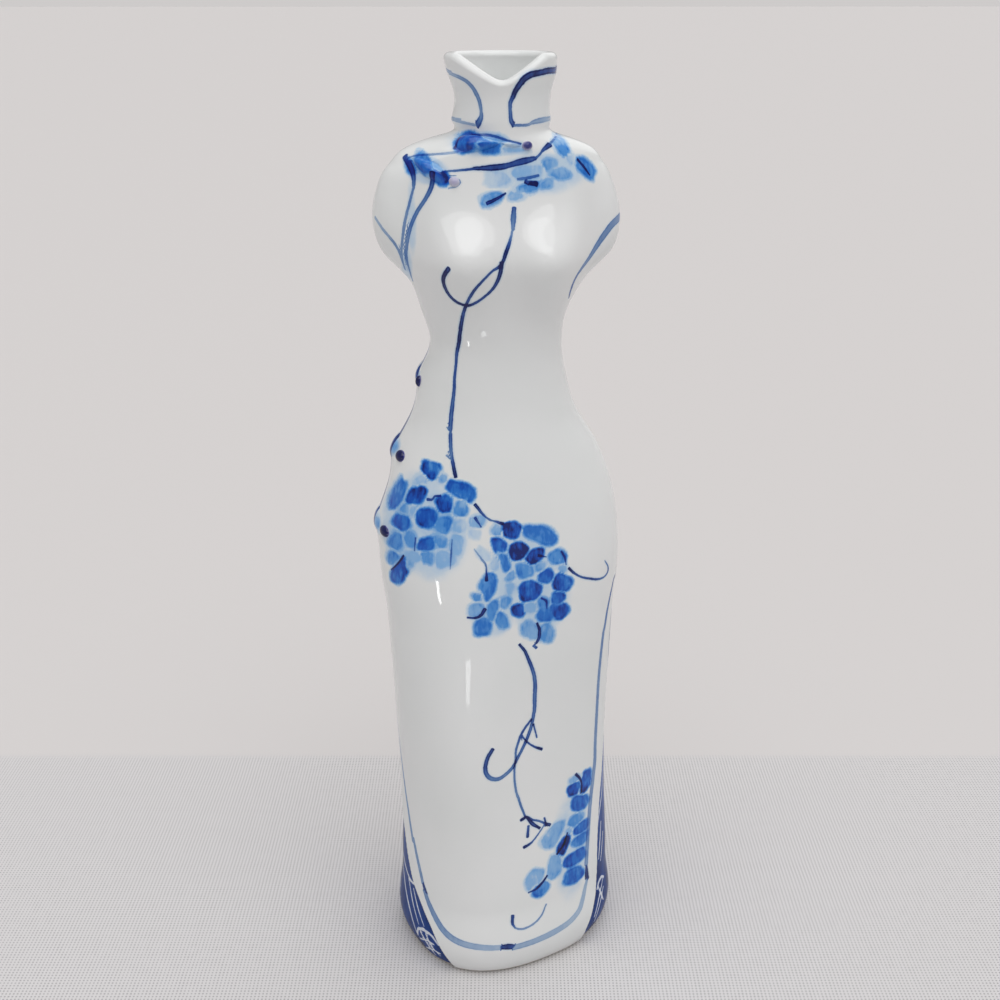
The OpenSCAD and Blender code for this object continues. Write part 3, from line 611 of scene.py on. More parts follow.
# White lines scraped through the wash of the trousers, as (x, height) at the front and
# (bearing, height) round the sides and the back
SCRAPED = (
    Stroke(((-27.6, 23), (-27, 20.6), (-25.9, 19.2), (-24.8, 20.2), (-24.6, 23.2)), (0.5, 0.6, 0.5),
           (0.9, 0.9)),
    Stroke(((-26.4, 18.6), (-25.6, 14), (-24.3, 9.6)), (0.3, 0.4, 0.2), (0.8, 0.6)),
    Stroke(((-25.2, 17.6), (-24.3, 14), (-22.9, 10.4)), (0.3, 0.4, 0.2), (0.8, 0.6)),
    Stroke(((-27.8, 19.4), (-27.2, 14), (-25.6, 8), (-24.6, 5.2)), (0.4, 0.5, 0.3), (0.9, 0.8)),
    Stroke(((-24.5, 5.4), (-24.4, 7.6), (-23, 9), (-21, 9), (-19.4, 7.4)), (0.5, 0.7, 0.5), (0.9, 0.9)),
    Stroke(((-23.6, 7.2), (-21.8, 4.6), (-20, 2)), (0.5, 0.5, 0.3), (0.9, 0.8)),
    Stroke(((-22.3, 8), (-21, 5.2), (-18.8, 3)), (0.4, 0.5, 0.3), (0.9, 0.8)),
    Stroke(((-23.8, 4.6), (-22.2, 6.2), (-20.6, 6.4)), (0.4, 0.4), (0.9, 0.8)),
    Stroke(((-22.2, 2.6), (-20.6, 4), (-19, 4)), (0.4, 0.4), (0.8, 0.7)),
    Stroke(((28.3, 74), (27.8, 66), (27.4, 61), (27, 57)), (0.2, 0.4, 0.3), (0.5, 0.7)),
    Stroke(((27.8, 48), (27.6, 42), (26.6, 37), (26, 34)), (0.2, 0.4, 0.3), (0.7, 0.9)),
    Stroke(((27.2, 33), (26.9, 28), (26.5, 23)), (0.3, 0.5, 0.3), (0.9, 0.9)),
    Stroke(((28, 29), (27.7, 25), (27.3, 21.6)), (0.3, 0.4, 0.3), (0.9, 0.8)),
    Stroke(((26.1, 14.4), (26.6, 15.6), (27.6, 16), (28.4, 15.2)), (0.5, 0.7, 0.5), (0.9, 0.9)),
    Stroke(((28, 14.6), (26.6, 11), (25.2, 6.4)), (0.3, 0.4, 0.3), (0.9, 0.8)),
    Stroke(((26.6, 13.8), (27.6, 11), (28.2, 9)), (0.4, 0.5, 0.3), (0.9, 0.8)),
    Stroke(((28.2, 12.4), (26.8, 8.4), (25.4, 4.2)), (0.3, 0.3), (0.8, 0.6)),
)


def round_the_trousers(slit: Slit, figure: Figure) -> list[Stroke]:
    """White scraped lines on the part of the trousers that faces the side and the back.

    Long blades run down the opening, and rings with a few crossed strokes sit near the foot.

    Args:
        slit: The opening that shows the trousers.
        figure: The body, for the opening's edges.

    Returns:
        The strokes, with paths of (bearing, height).
    """
    front, back = slit.front(figure), np.array(slit.back_edge, float)
    side = np.sign(front[0, 0])

    def across(height: float, share: float) -> float:
        """The bearing at a share of the opening's width, from its front edge to its back edge."""
        edges = [np.interp(height, e[::-1, 1], e[::-1, 0]) for e in (front, back)]
        return float(blend(edges[0], edges[1], share))

    strokes = []
    for share, top, foot in ((0.5, 78, 46), (0.62, 64, 30), (0.74, 50, 20), (0.84, 38, 16), (0.6, 36, 17),
                             (0.92, 26, 10)):
        heights = (top, top * 0.6 + foot * 0.4, foot)
        path = tuple((across(z, share + 0.03 * side * k), z) for k, z in enumerate(heights))
        strokes.append(Stroke(path, (0.25, 0.5, 0.25), (0.6, 0.9, 0.7), 0, Chart.ROUND))
    for share, height in ((0.48, 9.5), (0.74, 11), (0.93, 7)):
        middle = across(height, share)
        turn = np.linspace(0.3, 5.9, 9)
        ring = tuple((middle + 7.2 * float(np.cos(t)), height + 3.2 * float(np.sin(t))) for t in turn)
        strokes.append(Stroke(ring, (0.4, 0.7, 0.5), (0.9, 0.9), 0, Chart.ROUND))
        for lean, rise in ((4.4, 1.7), (-4.2, 1.9), (0.8, 2.6)):
            line = ((middle - lean, height - rise), (middle + lean, height + rise))
            strokes.append(Stroke(line, (0.35, 0.5, 0.3), (0.9, 0.8), 0, Chart.ROUND))
    return strokes


BACK_LINES = (
    Stroke(((92, 192), (98, 188), (110, 184), (118, 179), (121, 174)), (0.8, 1.1, 0.9, 0.4), (0.5, 0.6, 0.8),
           0, Chart.ROUND),
    Stroke(((-92, 192), (-99, 188), (-110, 184), (-118, 179), (-121, 174)), (0.8, 1, 0.8, 0.4),
           (0.45, 0.5, 0.7), 0, Chart.ROUND),
    Stroke(((77, 106.5), (85, 100), (97, 82), (108, 62), (114, 46), (120, 34), (127, 25), (137, 17),
            (150, 11), (158, 9.8),
            (166, 9.3)), (0.7, 1, 1.1, 1.2, 1.3), (0.8, 0.5, 0.45, 0.4, 0.35), 0, Chart.ROUND),
    Stroke(((-118, 108), (-128, 98), (-137, 82), (-146, 62), (-152, 46), (-158, 34), (-165, 25), (-173, 17),
            (-180, 12.6),
            (-186, 10.2), (-194, 9.3)), (0.7, 1, 1.1, 1.2, 1.3), (0.8, 0.5, 0.45, 0.4, 0.35), 0, Chart.ROUND),
    Stroke(((60, 216.2), (90, 216), (130, 215.8), (180, 215.6), (230, 215.8), (270, 216), (300, 216)),
           (0.6, 0.9, 0.7, 0.9, 0.6),
           (0.3, 0.35, 0.25, 0.35, 0.3), 0, Chart.ROUND),
    Stroke(((72, 226.4), (100, 226.6), (140, 226.4), (180, 226.6), (220, 226.4), (260, 226.6), (289, 225.8)),
           (1.1, 0.8, 0.9, 0.7, 0.8), (0.9, 0.5, 0.45, 0.4, 0.35), 0, Chart.ROUND),
)
# The dark piping down the wearer's right side, from under the arm to the slit, with its three knots
SIDE_PIPING = (
    Stroke(((-94, 172), (-93, 165), (-92, 157), (-93, 148), (-93.5, 139.5), (-95, 130), (-96, 121),
            (-97.5, 112),
            (-98.5, 104), (-99.5, 96)), (0.7, 1.3, 0.9, 1.3, 1.4, 1.1, 1.4, 1.2, 0.9),
           (0.5, 0.9, 0.8, 0.95, 1, 0.85, 1, 0.9, 0.85), 0, Chart.ROUND),
    Stroke(((70, 103.6), (68, 100.5), (65, 97), (61.5, 90), (61, 82), (61, 76), (58.5, 69)),
           (0.45, 0.5, 0.4, 0.35, 0.3),
           (0.9, 1, 0.95, 0.9, 0.8), 0, Chart.ROUND),
)
SIDE_FROG_PAINT = ((157, -88, 1.2), (139.6, -89, 2.5), (120.2, -91, 2.8))


class Brushwork:
    """All the painting on the bottle, worked out at any points of its skin.

    FAR stands for a distance with no paint. SQUARENESS is the power of a dab's oval, BRISTLES is
    how far off the skin a stroke still marks it, and SCRAPER widens the scraped lines.
    """

    FAR = 6.0
    SQUARENESS = 2.3
    BRISTLES = 1.3
    SCRAPER = 1.3
    REST = {"dab": (FAR, 0.0, 0.0), "line_0": (FAR, FAR, 0.3), "line_1": (FAR, FAR, 0.3),
            "scrape": (FAR, FAR, 0.3)}

    def __init__(self, figure: Figure) -> None:
        """Gathers the dabs and strokes."""
        self.figure = figure
        rng = np.random.default_rng(23)
        rows = HIP_FLOWER + WAIST_FLOWER + HEM_FLOWER + SHOULDER_FLOWER + COLLAR_FROG_PAINT + SHOULDER_FROG_PAINT
        self.petals = [Petal(*row) for row in rows]
        self.wobble = rng.uniform(0, 2 * np.pi, (len(self.petals), 3))
        fullness = (
            (COLLAR_LINES, 1.25), (YOKE_LINES, 1.2), (BUST_VINE, 1.0), (CLUSTER_VEINS, 0.9),
            (SKIRT_VINE, 1.0),
            (HEM_BORDER, 1.3), (BACK_LINES, 1.25), (SIDE_PIPING, 1.0),
        )
        self.lines = [replace(line, widths=tuple(w * full for w in line.widths)) for group,
                      full in fullness for line in group]
        near = [replace(line, widths=tuple(w * self.SCRAPER for w in line.widths),
                        tones=(1.0, 0.95)) for line in SCRAPED]
        self.scraped = (*near, *round_the_trousers(LEFT_SLIT, figure),
                        *round_the_trousers(RIGHT_SLIT, figure))

    def dabs(self, spots: Array, facing: Array) -> tuple[Array, Array]:
        """The dabs, each of which keeps to its own side of the line where it meets its neighbour.

        An oval's signed distance is (r - 1) / |grad r|, with r^2.3 = |u|^2.3 + |v|^2.3 and a
        wobble in r of three waves round it. The gap is half of the difference between the
        distances to the two nearest dabs.

        Args:
            spots: Points of the skin.
            facing: How far each looks to the front, from -1 to 1.

        Returns:
            One row per point: the distance outside the nearest dab, its tone, and how far
            towards its dark side the point is. Then the gap for each point.
        """
        found = np.tile(np.array([self.FAR, 0.0, 0.0]), (len(spots), 1))
        second = np.full(len(spots), self.FAR)
        for petal, waves in zip(self.petals, self.wobble):
            size = max(petal.half_long, petal.half_wide) + 1.6
            dx, dz = spots[:, 0] - petal.x, spots[:, 2] - petal.height
            near = np.nonzero((np.abs(dx) < size) & (np.abs(dz) < size) & (facing > 0.02))[0]
            dx, dz = dx[near], dz[near]
            cos, sin = np.cos(radians(petal.tilt)), np.sin(radians(petal.tilt))
            u, v = (dx * cos + dz * sin) / petal.half_long, (dz * cos - dx * sin) / petal.half_wide
            r = (np.abs(u) ** self.SQUARENESS + np.abs(v) ** self.SQUARENESS) ** (1 / self.SQUARENESS) + 1e-6
            turn = np.arctan2(v, u)
            r = r * (1 + 0.05 * np.sin(2 * turn + waves[0]) + 0.05 * np.sin(
                3 * turn + waves[1]) + 0.03 * np.sin(5 * turn + waves[2]))
            slope = np.hypot(u / petal.half_long, v / petal.half_wide) / np.maximum(np.hypot(u, v), 1e-6)
            distance = (r - 1) / np.maximum(slope, 1e-6)
            lean = (dx * np.cos(waves[1]) + dz * np.sin(waves[1])) / (petal.half_long + petal.half_wide) * 2
            closer = distance < found[near, 0]
            second[near] = np.minimum(second[near], np.maximum(distance, found[near, 0]))
            found[near[closer]] = np.stack([distance, np.full_like(distance, petal.tone), lean], -1)[closer]
        return found, (second - found[:, 0]) / 2

    @staticmethod
    def inside(spots: Array, points: Array, among: Array) -> Array:
        """Which of some spots lie in the box round a stroke's points, with room to spare."""
        low, high = points.min(0) - 2.2, points.max(0) + 2.2
        for axis in (2, 0, 1):
            value = spots[among, axis]
            among = among[(value > low[axis]) & (value < high[axis])]
        return among

    def drawn(self, strokes: Sequence[Stroke], spots: Array, normals: Array) -> tuple[Array, Array]:
        """The brush lines nearest to each point.

        Each stroke is a chain of short pieces. The offset from a piece is taken in the plane
        of the skin, and its part across the piece keeps its sign, so that a thin line stays
        sharp between points.

        Args:
            strokes: The lines.
            spots: Points of the skin.
            normals: Their unit normals.

        Returns:
            (offset across, distance, half width) and (tone, share of the way along, 0).
        """
        edge = np.tile(np.array([self.FAR, self.FAR, 0.3]), (len(spots), 1))
        tint = np.zeros((len(spots), 3))
        for stroke in strokes:
            points, half, tone = stroke.laid(self.figure)
            local = self.inside(spots, points, np.arange(len(spots)))
            for first in range(0, len(points) - 1, 8):
                part = slice(first, min(first + 9, len(points)))
                a, d = points[part][:-1], np.diff(points[part], axis=0)
                near = self.inside(spots, points[part], local)
                if not len(near):
                    continue
                spot, normal = spots[near, None], normals[near, None]
                length = np.maximum((d * d).sum(-1), 1e-9)
                t = np.clip(((spot - a) * d).sum(-1) / length, 0, 1)
                off = spot - a - t[..., None] * d
                rise = (off * normal).sum(-1, keepdims=True)
                off = off - rise * normal
                away = np.where(np.abs(rise[..., 0]) < self.BRISTLES, np.linalg.norm(off, axis=-1), self.FAR)
                pick = away.argmin(1)
                row = np.arange(len(near))
                across = (off[row, pick] * np.cross(normals[near], unit(d)[pick])).sum(-1)
                closer = away[row, pick] < edge[near, 1]
                share = first + pick + t[row, pick]
                widths = np.interp(share, np.arange(len(half)), half)
                tones = np.interp(share, np.arange(len(tone)), tone)
                along = share / len(half)
                edge[near[closer]] = np.stack([across, away[row, pick], widths], -1)[closer]
                tint[near[closer]] = np.stack([tones, along, 0 * along], -1)[closer]
        return edge, tint

    def washes(self, spots: Array, facing: Array) -> Array:
        """Pale water-thin wash round the flowers: soft ovals that fade out, the strongest kept."""
        total = np.zeros(len(spots))
        for x, z, wide, tall, tone in (
            (-19, 124, 10, 13, 0.17), (-25, 121, 5, 10, 0.19), (3.5, 113, 9, 12, 0.14), (8, 105, 8, 9, 0.14),
            (-4, 103, 6, 6, 0.12), (17, 34, 6, 18, 0.1), (8, 205, 12, 5, 0.1), (-20.6, 195, 1.1, 9, 0.10),
            (-6, 211.4, 7, 3, 0.1), (-17, 205.6, 5, 3, 0.16), (-21.9, 184, 1.4, 6, 0.1),
            (-2, 209.9, 8, 1, 0.12),
        ):
            r = np.hypot((spots[:, 0] - x) / wide, (spots[:, 2] - z) / tall)
            total = np.maximum(total, tone * smooth((1.15 - r) / 0.6) * (facing > 0))
        side = spots[:, 0] < 0
        for height, bearing, size in SIDE_FROG_PAINT:
            spot = self.figure.skin(np.array(bearing), np.array(height))
            r = np.linalg.norm((spots - spot) / np.array([1.0, 1.0, 0.9]), axis=-1) / size
            total = np.maximum(total, 0.34 * smooth((1.3 - r) / 1.1) * side)
        return total

    def over(self, spots: Array, normals: Array, bearing: Array) -> dict[str, Array]:
        """Every painted attribute at points of the skin.

        Args:
            spots: Points of the skin, without relief.
            normals: Their unit normals.
            bearing: Their bearings in degrees.

        Returns:
            Arrays of one or three columns, by attribute name.
        """
        facing = -normals[:, 1]
        made = dict(zip(("dab", "dab_gap"), self.dabs(spots, facing)))
        for layer in (0, 1):
            lines = [line for line in self.lines if line.layer == layer]
            made[f"line_{layer}"], made[f"line_tint_{layer}"] = self.drawn(lines, spots, normals)
        made["scrape"], made["scrape_tint"] = self.drawn(self.scraped, spots, normals)
        made["wash"] = self.washes(spots, facing)
        cloth = [slit.depth(self.figure, bearing, spots[:, 2]) for slit in (LEFT_SLIT, RIGHT_SLIT)]
        made["cloth"] = np.maximum(*cloth)
        return made


# ---------------------------------------------------------------- meshes


@dataclass
class Sheet:
    """A grid of points with their normals, wrapped round on either parameter."""

    points: Array
    normals: Array
    wrap_rows: bool = False
    wrap_columns: bool = False

    def faces(self, first: int = 0) -> Array:
        """The quadrilaterals between neighbouring points, counted from first."""
        rows, columns = self.points.shape[:2]
        index = first + np.arange(rows * columns).reshape(rows, columns)
        if self.wrap_rows:
            index = np.vstack([index, index[:1]])
        if self.wrap_columns:
            index = np.hstack([index, index[:, :1]])
        return np.stack([index[:-1, :-1], index[:-1, 1:], index[1:, 1:], index[1:, :-1]], -1).reshape(-1, 4)


def sheet_of(shape: Callable[[Array, Array], Array], rows: Array, columns: Array, steps: tuple[float, float],
             wrap_rows: bool = False, wrap_columns: bool = False) -> Sheet:
    """Works out a surface on a grid, with normals from the cross product of its two slopes.

    Args:
        shape: The surface: points for a row value and a column value.
        rows: The row values.
        columns: The column values.
        steps: The small steps to either side that give the slopes.
        wrap_rows: True if the last row joins the first.
        wrap_columns: True if the last column joins the first.

    Returns:
        The grid.
    """
    v, u = np.meshgrid(rows, columns, indexing="ij")
    along = shape(v, u + steps[1]) - shape(v, u - steps[1])
    up = shape(v + steps[0], u) - shape(v - steps[0], u)
    return Sheet(shape(v, u), unit(np.cross(along, up)), wrap_rows, wrap_columns)


def zipped(one: Array, other: Array, at_one: Array, at_other: Array) -> Array:
    """Triangles that fill the strip between two chains of vertices of different counts.

    Each piece of one chain gets a triangle to the point of the other that is level with its
    middle.

    Args:
        one: Vertex numbers of the first chain.
        other: Vertex numbers of the second.
        at_one: How far along each vertex of the first chain is, rising.
        at_other: The same for the second chain.

    Returns:
        The triangles.
    """
    middle_one = (at_one[1:] + at_one[:-1]) / 2
    middle_other = (at_other[1:] + at_other[:-1]) / 2
    to_other = np.searchsorted(middle_other, middle_one, side="left")
    to_one = np.searchsorted(middle_one, middle_other, side="right")
    return np.vstack([
        np.stack([one[:-1], one[1:], other[to_other]], -1),
        np.stack([other[1:], other[:-1], one[to_one]], -1),
    ])


class MeshMaker:
    """Gathers grids and strips into one closed mesh with normals and attributes."""

    def __init__(self, name: str, figure: Figure) -> None:
        """Starts an empty piece."""
        self.name = name
        self.figure = figure
        self.points: list[Array] = []
        self.normals: list[Array] = []
        self.quads: list[Array] = []
        self.triangles: list[Array] = []
        self.attributes: dict[str, Array] = {}

    def count(self) -> int:
        """How many vertices there are so far."""
        return sum(len(p) for p in self.points)

    def add(self, sheet: Sheet) -> Array:
        """Adds a grid and returns its vertex numbers, in rows and columns."""
        first = self.count()
        self.points.append(sheet.points.reshape(-1, 3))
        self.normals.append(sheet.normals.reshape(-1, 3))
        self.quads.append(sheet.faces(first))
        return first + np.arange(sheet.points[..., 0].size).reshape(sheet.points.shape[:2])

    def join(self, one: Array, other: Array, at_one: Array | None = None,
             at_other: Array | None = None) -> None:
        """Fills the strip between two chains of vertices, evenly spaced unless it is said where they are."""
        at_one = np.linspace(0, 1, len(one)) if at_one is None else at_one
        at_other = np.linspace(0, 1, len(other)) if at_other is None else at_other
        self.triangles.append(zipped(one, other, at_one, at_other))

    def paint(self, attributes: dict[str, Array]) -> None:
        """Keeps attributes for the first grid, and rest values for every vertex after it."""
        self.attributes = attributes

    def build(self, material: bpy.types.Material, slot: str, nodes: Sequence[str]) -> bpy.types.Object:
        """Makes the object, with its faces pointing outwards, and puts it on the CAD body.

        Args:
            material: Its finish.
            slot: The record's material slot. It is not used.
            nodes: The CAD nodes that it stands for.

        Returns:
            The finished piece.
        """
        points = np.vstack(self.points)
        normals = np.vstack(self.normals)
        quads = np.vstack(self.quads)
        triangles = np.vstack(self.triangles) if self.triangles else np.zeros((0, 3), int)
        corners = np.vstack([quads[:, [0, 1, 2]], quads[:, [0, 2, 3]], triangles])
        a, b, c = (points[corners[:, k]] for k in range(3))
        if (a * np.cross(b, c)).sum() < 0:
            quads, triangles = quads[:, ::-1], triangles[:, ::-1]
        mesh = bpy.data.meshes.new(self.name)
        loops = np.concatenate([quads.ravel(), triangles.ravel()])
        sizes = np.concatenate([np.full(len(quads), 4), np.full(len(triangles), 3)])
        mesh.vertices.add(len(points))
        mesh.loops.add(len(loops))
        mesh.polygons.add(len(sizes))
        mesh.vertices.foreach_set("co", self.figure.place(points).astype(np.float32).ravel())
        mesh.loops.foreach_set("vertex_index", loops.astype(np.int32))
        mesh.polygons.foreach_set("loop_start", np.concatenate([[0], np.cumsum(sizes)[:-1]]).astype(np.int32))
        for name, values in self.attributes.items():
            if values.ndim == 1:
                full = np.zeros(len(points), np.float32)
                full[: len(values)] = values
                mesh.attributes.new(name, "FLOAT", "POINT").data.foreach_set("value", full)
            else:
                full = np.tile(np.array(Brushwork.REST.get(name, (0.0, 0.0, 0.0)), np.float32),
                               (len(points), 1))
                full[: len(values)] = values
                mesh.attributes.new(name, "FLOAT_VECTOR", "POINT").data.foreach_set("vector", full.ravel())
        mesh.update(calc_edges=True)
        if mesh.validate():
            LOG.warning("%s had faces that needed repair", self.name)
        mesh.shade_smooth()
        mesh.normals_split_custom_set_from_vertices(normals)
        mesh.materials.append(material)
        piece = bpy.data.objects.new(self.name, mesh)
        bpy.context.scene.collection.objects.link(piece)
        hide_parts(*nodes)
        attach(piece, BODY)
        LOG.info("%s: %d triangles", self.name, 2 * len(quads) + len(triangles))
        return piece


# ---------------------------------------------------------------- finishes

Socket = bpy.types.NodeSocket
Colour = tuple[float, float, float]


class Bench:
    """Builds one material's node tree with short calls."""

    def __init__(self, name: str) -> None:
        """Starts a material with a Principled shader and object coordinates."""
        self.material = bpy.data.materials.new(name)
        self.material.use_nodes = True
        self.nodes = self.material.node_tree.nodes
        self.links = self.material.node_tree.links
        self.shader = self.nodes["Principled BSDF"]
        self.place = self.nodes.new("ShaderNodeTexCoord").outputs["Object"]

    def feed(self, socket: Socket, value: Socket | float | Sequence[float]) -> None:
        """Links an output to a socket, or sets the socket to a constant."""
        if isinstance(value, bpy.types.NodeSocket):
            self.links.new(value, socket)
        else:
            socket.default_value = value

    def math(self, operation: str, *values: Socket | float, clamp: bool = False) -> Socket:
        """A Math node on one, two or three values."""
        node = self.nodes.new("ShaderNodeMath")
        node.operation, node.use_clamp = operation, clamp
        for socket, value in zip(node.inputs, values):
            self.feed(socket, value)
        return node.outputs[0]

    def ramp(self, value: Socket, low: Socket | float, high: Socket | float, start: float = 0.0,
             stop: float = 1.0) -> Socket:
        """Goes smoothly from start to stop as value goes from low to high."""
        node = self.nodes.new("ShaderNodeMapRange")
        node.interpolation_type = "SMOOTHSTEP"
        for key, v in (("Value", value), ("From Min", low), ("From Max", high), ("To Min", start),
                       ("To Max", stop)):
            self.feed(node.inputs[key], v)
        return node.outputs[0]

    def noise(self, size: float, detail: float = 2.0, stretch: Sequence[float] = (1, 1, 1),
              centred: bool = True) -> Socket:
        """Noise with features of a size in millimetres, from about -0.5 to 0.5 if centred."""
        mapping = self.nodes.new("ShaderNodeMapping")
        self.feed(mapping.inputs["Vector"], self.place)
        mapping.inputs["Scale"].default_value = stretch
        node = self.nodes.new("ShaderNodeTexNoise")
        self.feed(node.inputs["Vector"], mapping.outputs[0])
        node.inputs["Scale"].default_value = 1000 / size
        node.inputs["Detail"].default_value = detail
        return self.math("SUBTRACT", node.outputs["Fac"], 0.5) if centred else node.outputs["Fac"]

    def field(self, name: str) -> tuple[Socket, Socket, Socket]:
        """The three numbers of a painted attribute."""
        node = self.nodes.new("ShaderNodeAttribute")
        node.attribute_name = name
        parts = self.nodes.new("ShaderNodeSeparateXYZ")
        self.feed(parts.inputs[0], node.outputs["Vector"])
        return parts.outputs[0], parts.outputs[1], parts.outputs[2]

    def number(self, name: str) -> Socket:
        """A painted attribute of one number."""
        node = self.nodes.new("ShaderNodeAttribute")
        node.attribute_name = name
        return node.outputs["Fac"]

    def tint(self, value: Socket, stops: Sequence[tuple[float, Colour]]) -> Socket:
        """A colour for each value, through a few colours."""
        node = self.nodes.new("ShaderNodeValToRGB")
        node.color_ramp.interpolation = "EASE"
        elements = node.color_ramp.elements
        while len(elements) < len(stops):
            elements.new(1.0)
        for element, (at, colour) in zip(elements, stops):
            element.position, element.color = at, (*colour, 1)
        self.feed(node.inputs[0], value)
        return node.outputs["Color"]

    def mix(self, share: Socket | float, one: Socket | Sequence[float], other: Socket | Sequence[float],
            how: str = "MIX") -> Socket:
        """One colour over another."""
        node = self.nodes.new("ShaderNodeMix")
        node.data_type, node.blend_type = "RGBA", how
        for key, value in (("Factor_Float", share), ("A_Color", one), ("B_Color", other)):
            socket = next(s for s in node.inputs if s.identifier == key)
            self.feed(socket, value if isinstance(value, (float, int, bpy.types.NodeSocket)) else (*value, 1))
        return next(s for s in node.outputs if s.identifier == "Result_Color")

    def bump(self, *layers: tuple[Socket, float]) -> None:
        """Bumps the shader's normal, and its coat's, by heights of so many millimetres."""
        normal = None
        for height, depth in layers:
            node = self.nodes.new("ShaderNodeBump")
            node.inputs["Distance"].default_value = depth / 1000
            self.feed(node.inputs["Height"], height)
            if normal is not None:
                self.feed(node.inputs["Normal"], normal)
            normal = node.outputs[0]
        self.feed(self.shader.inputs["Normal"], normal)
        self.feed(self.shader.inputs["Coat Normal"], normal)


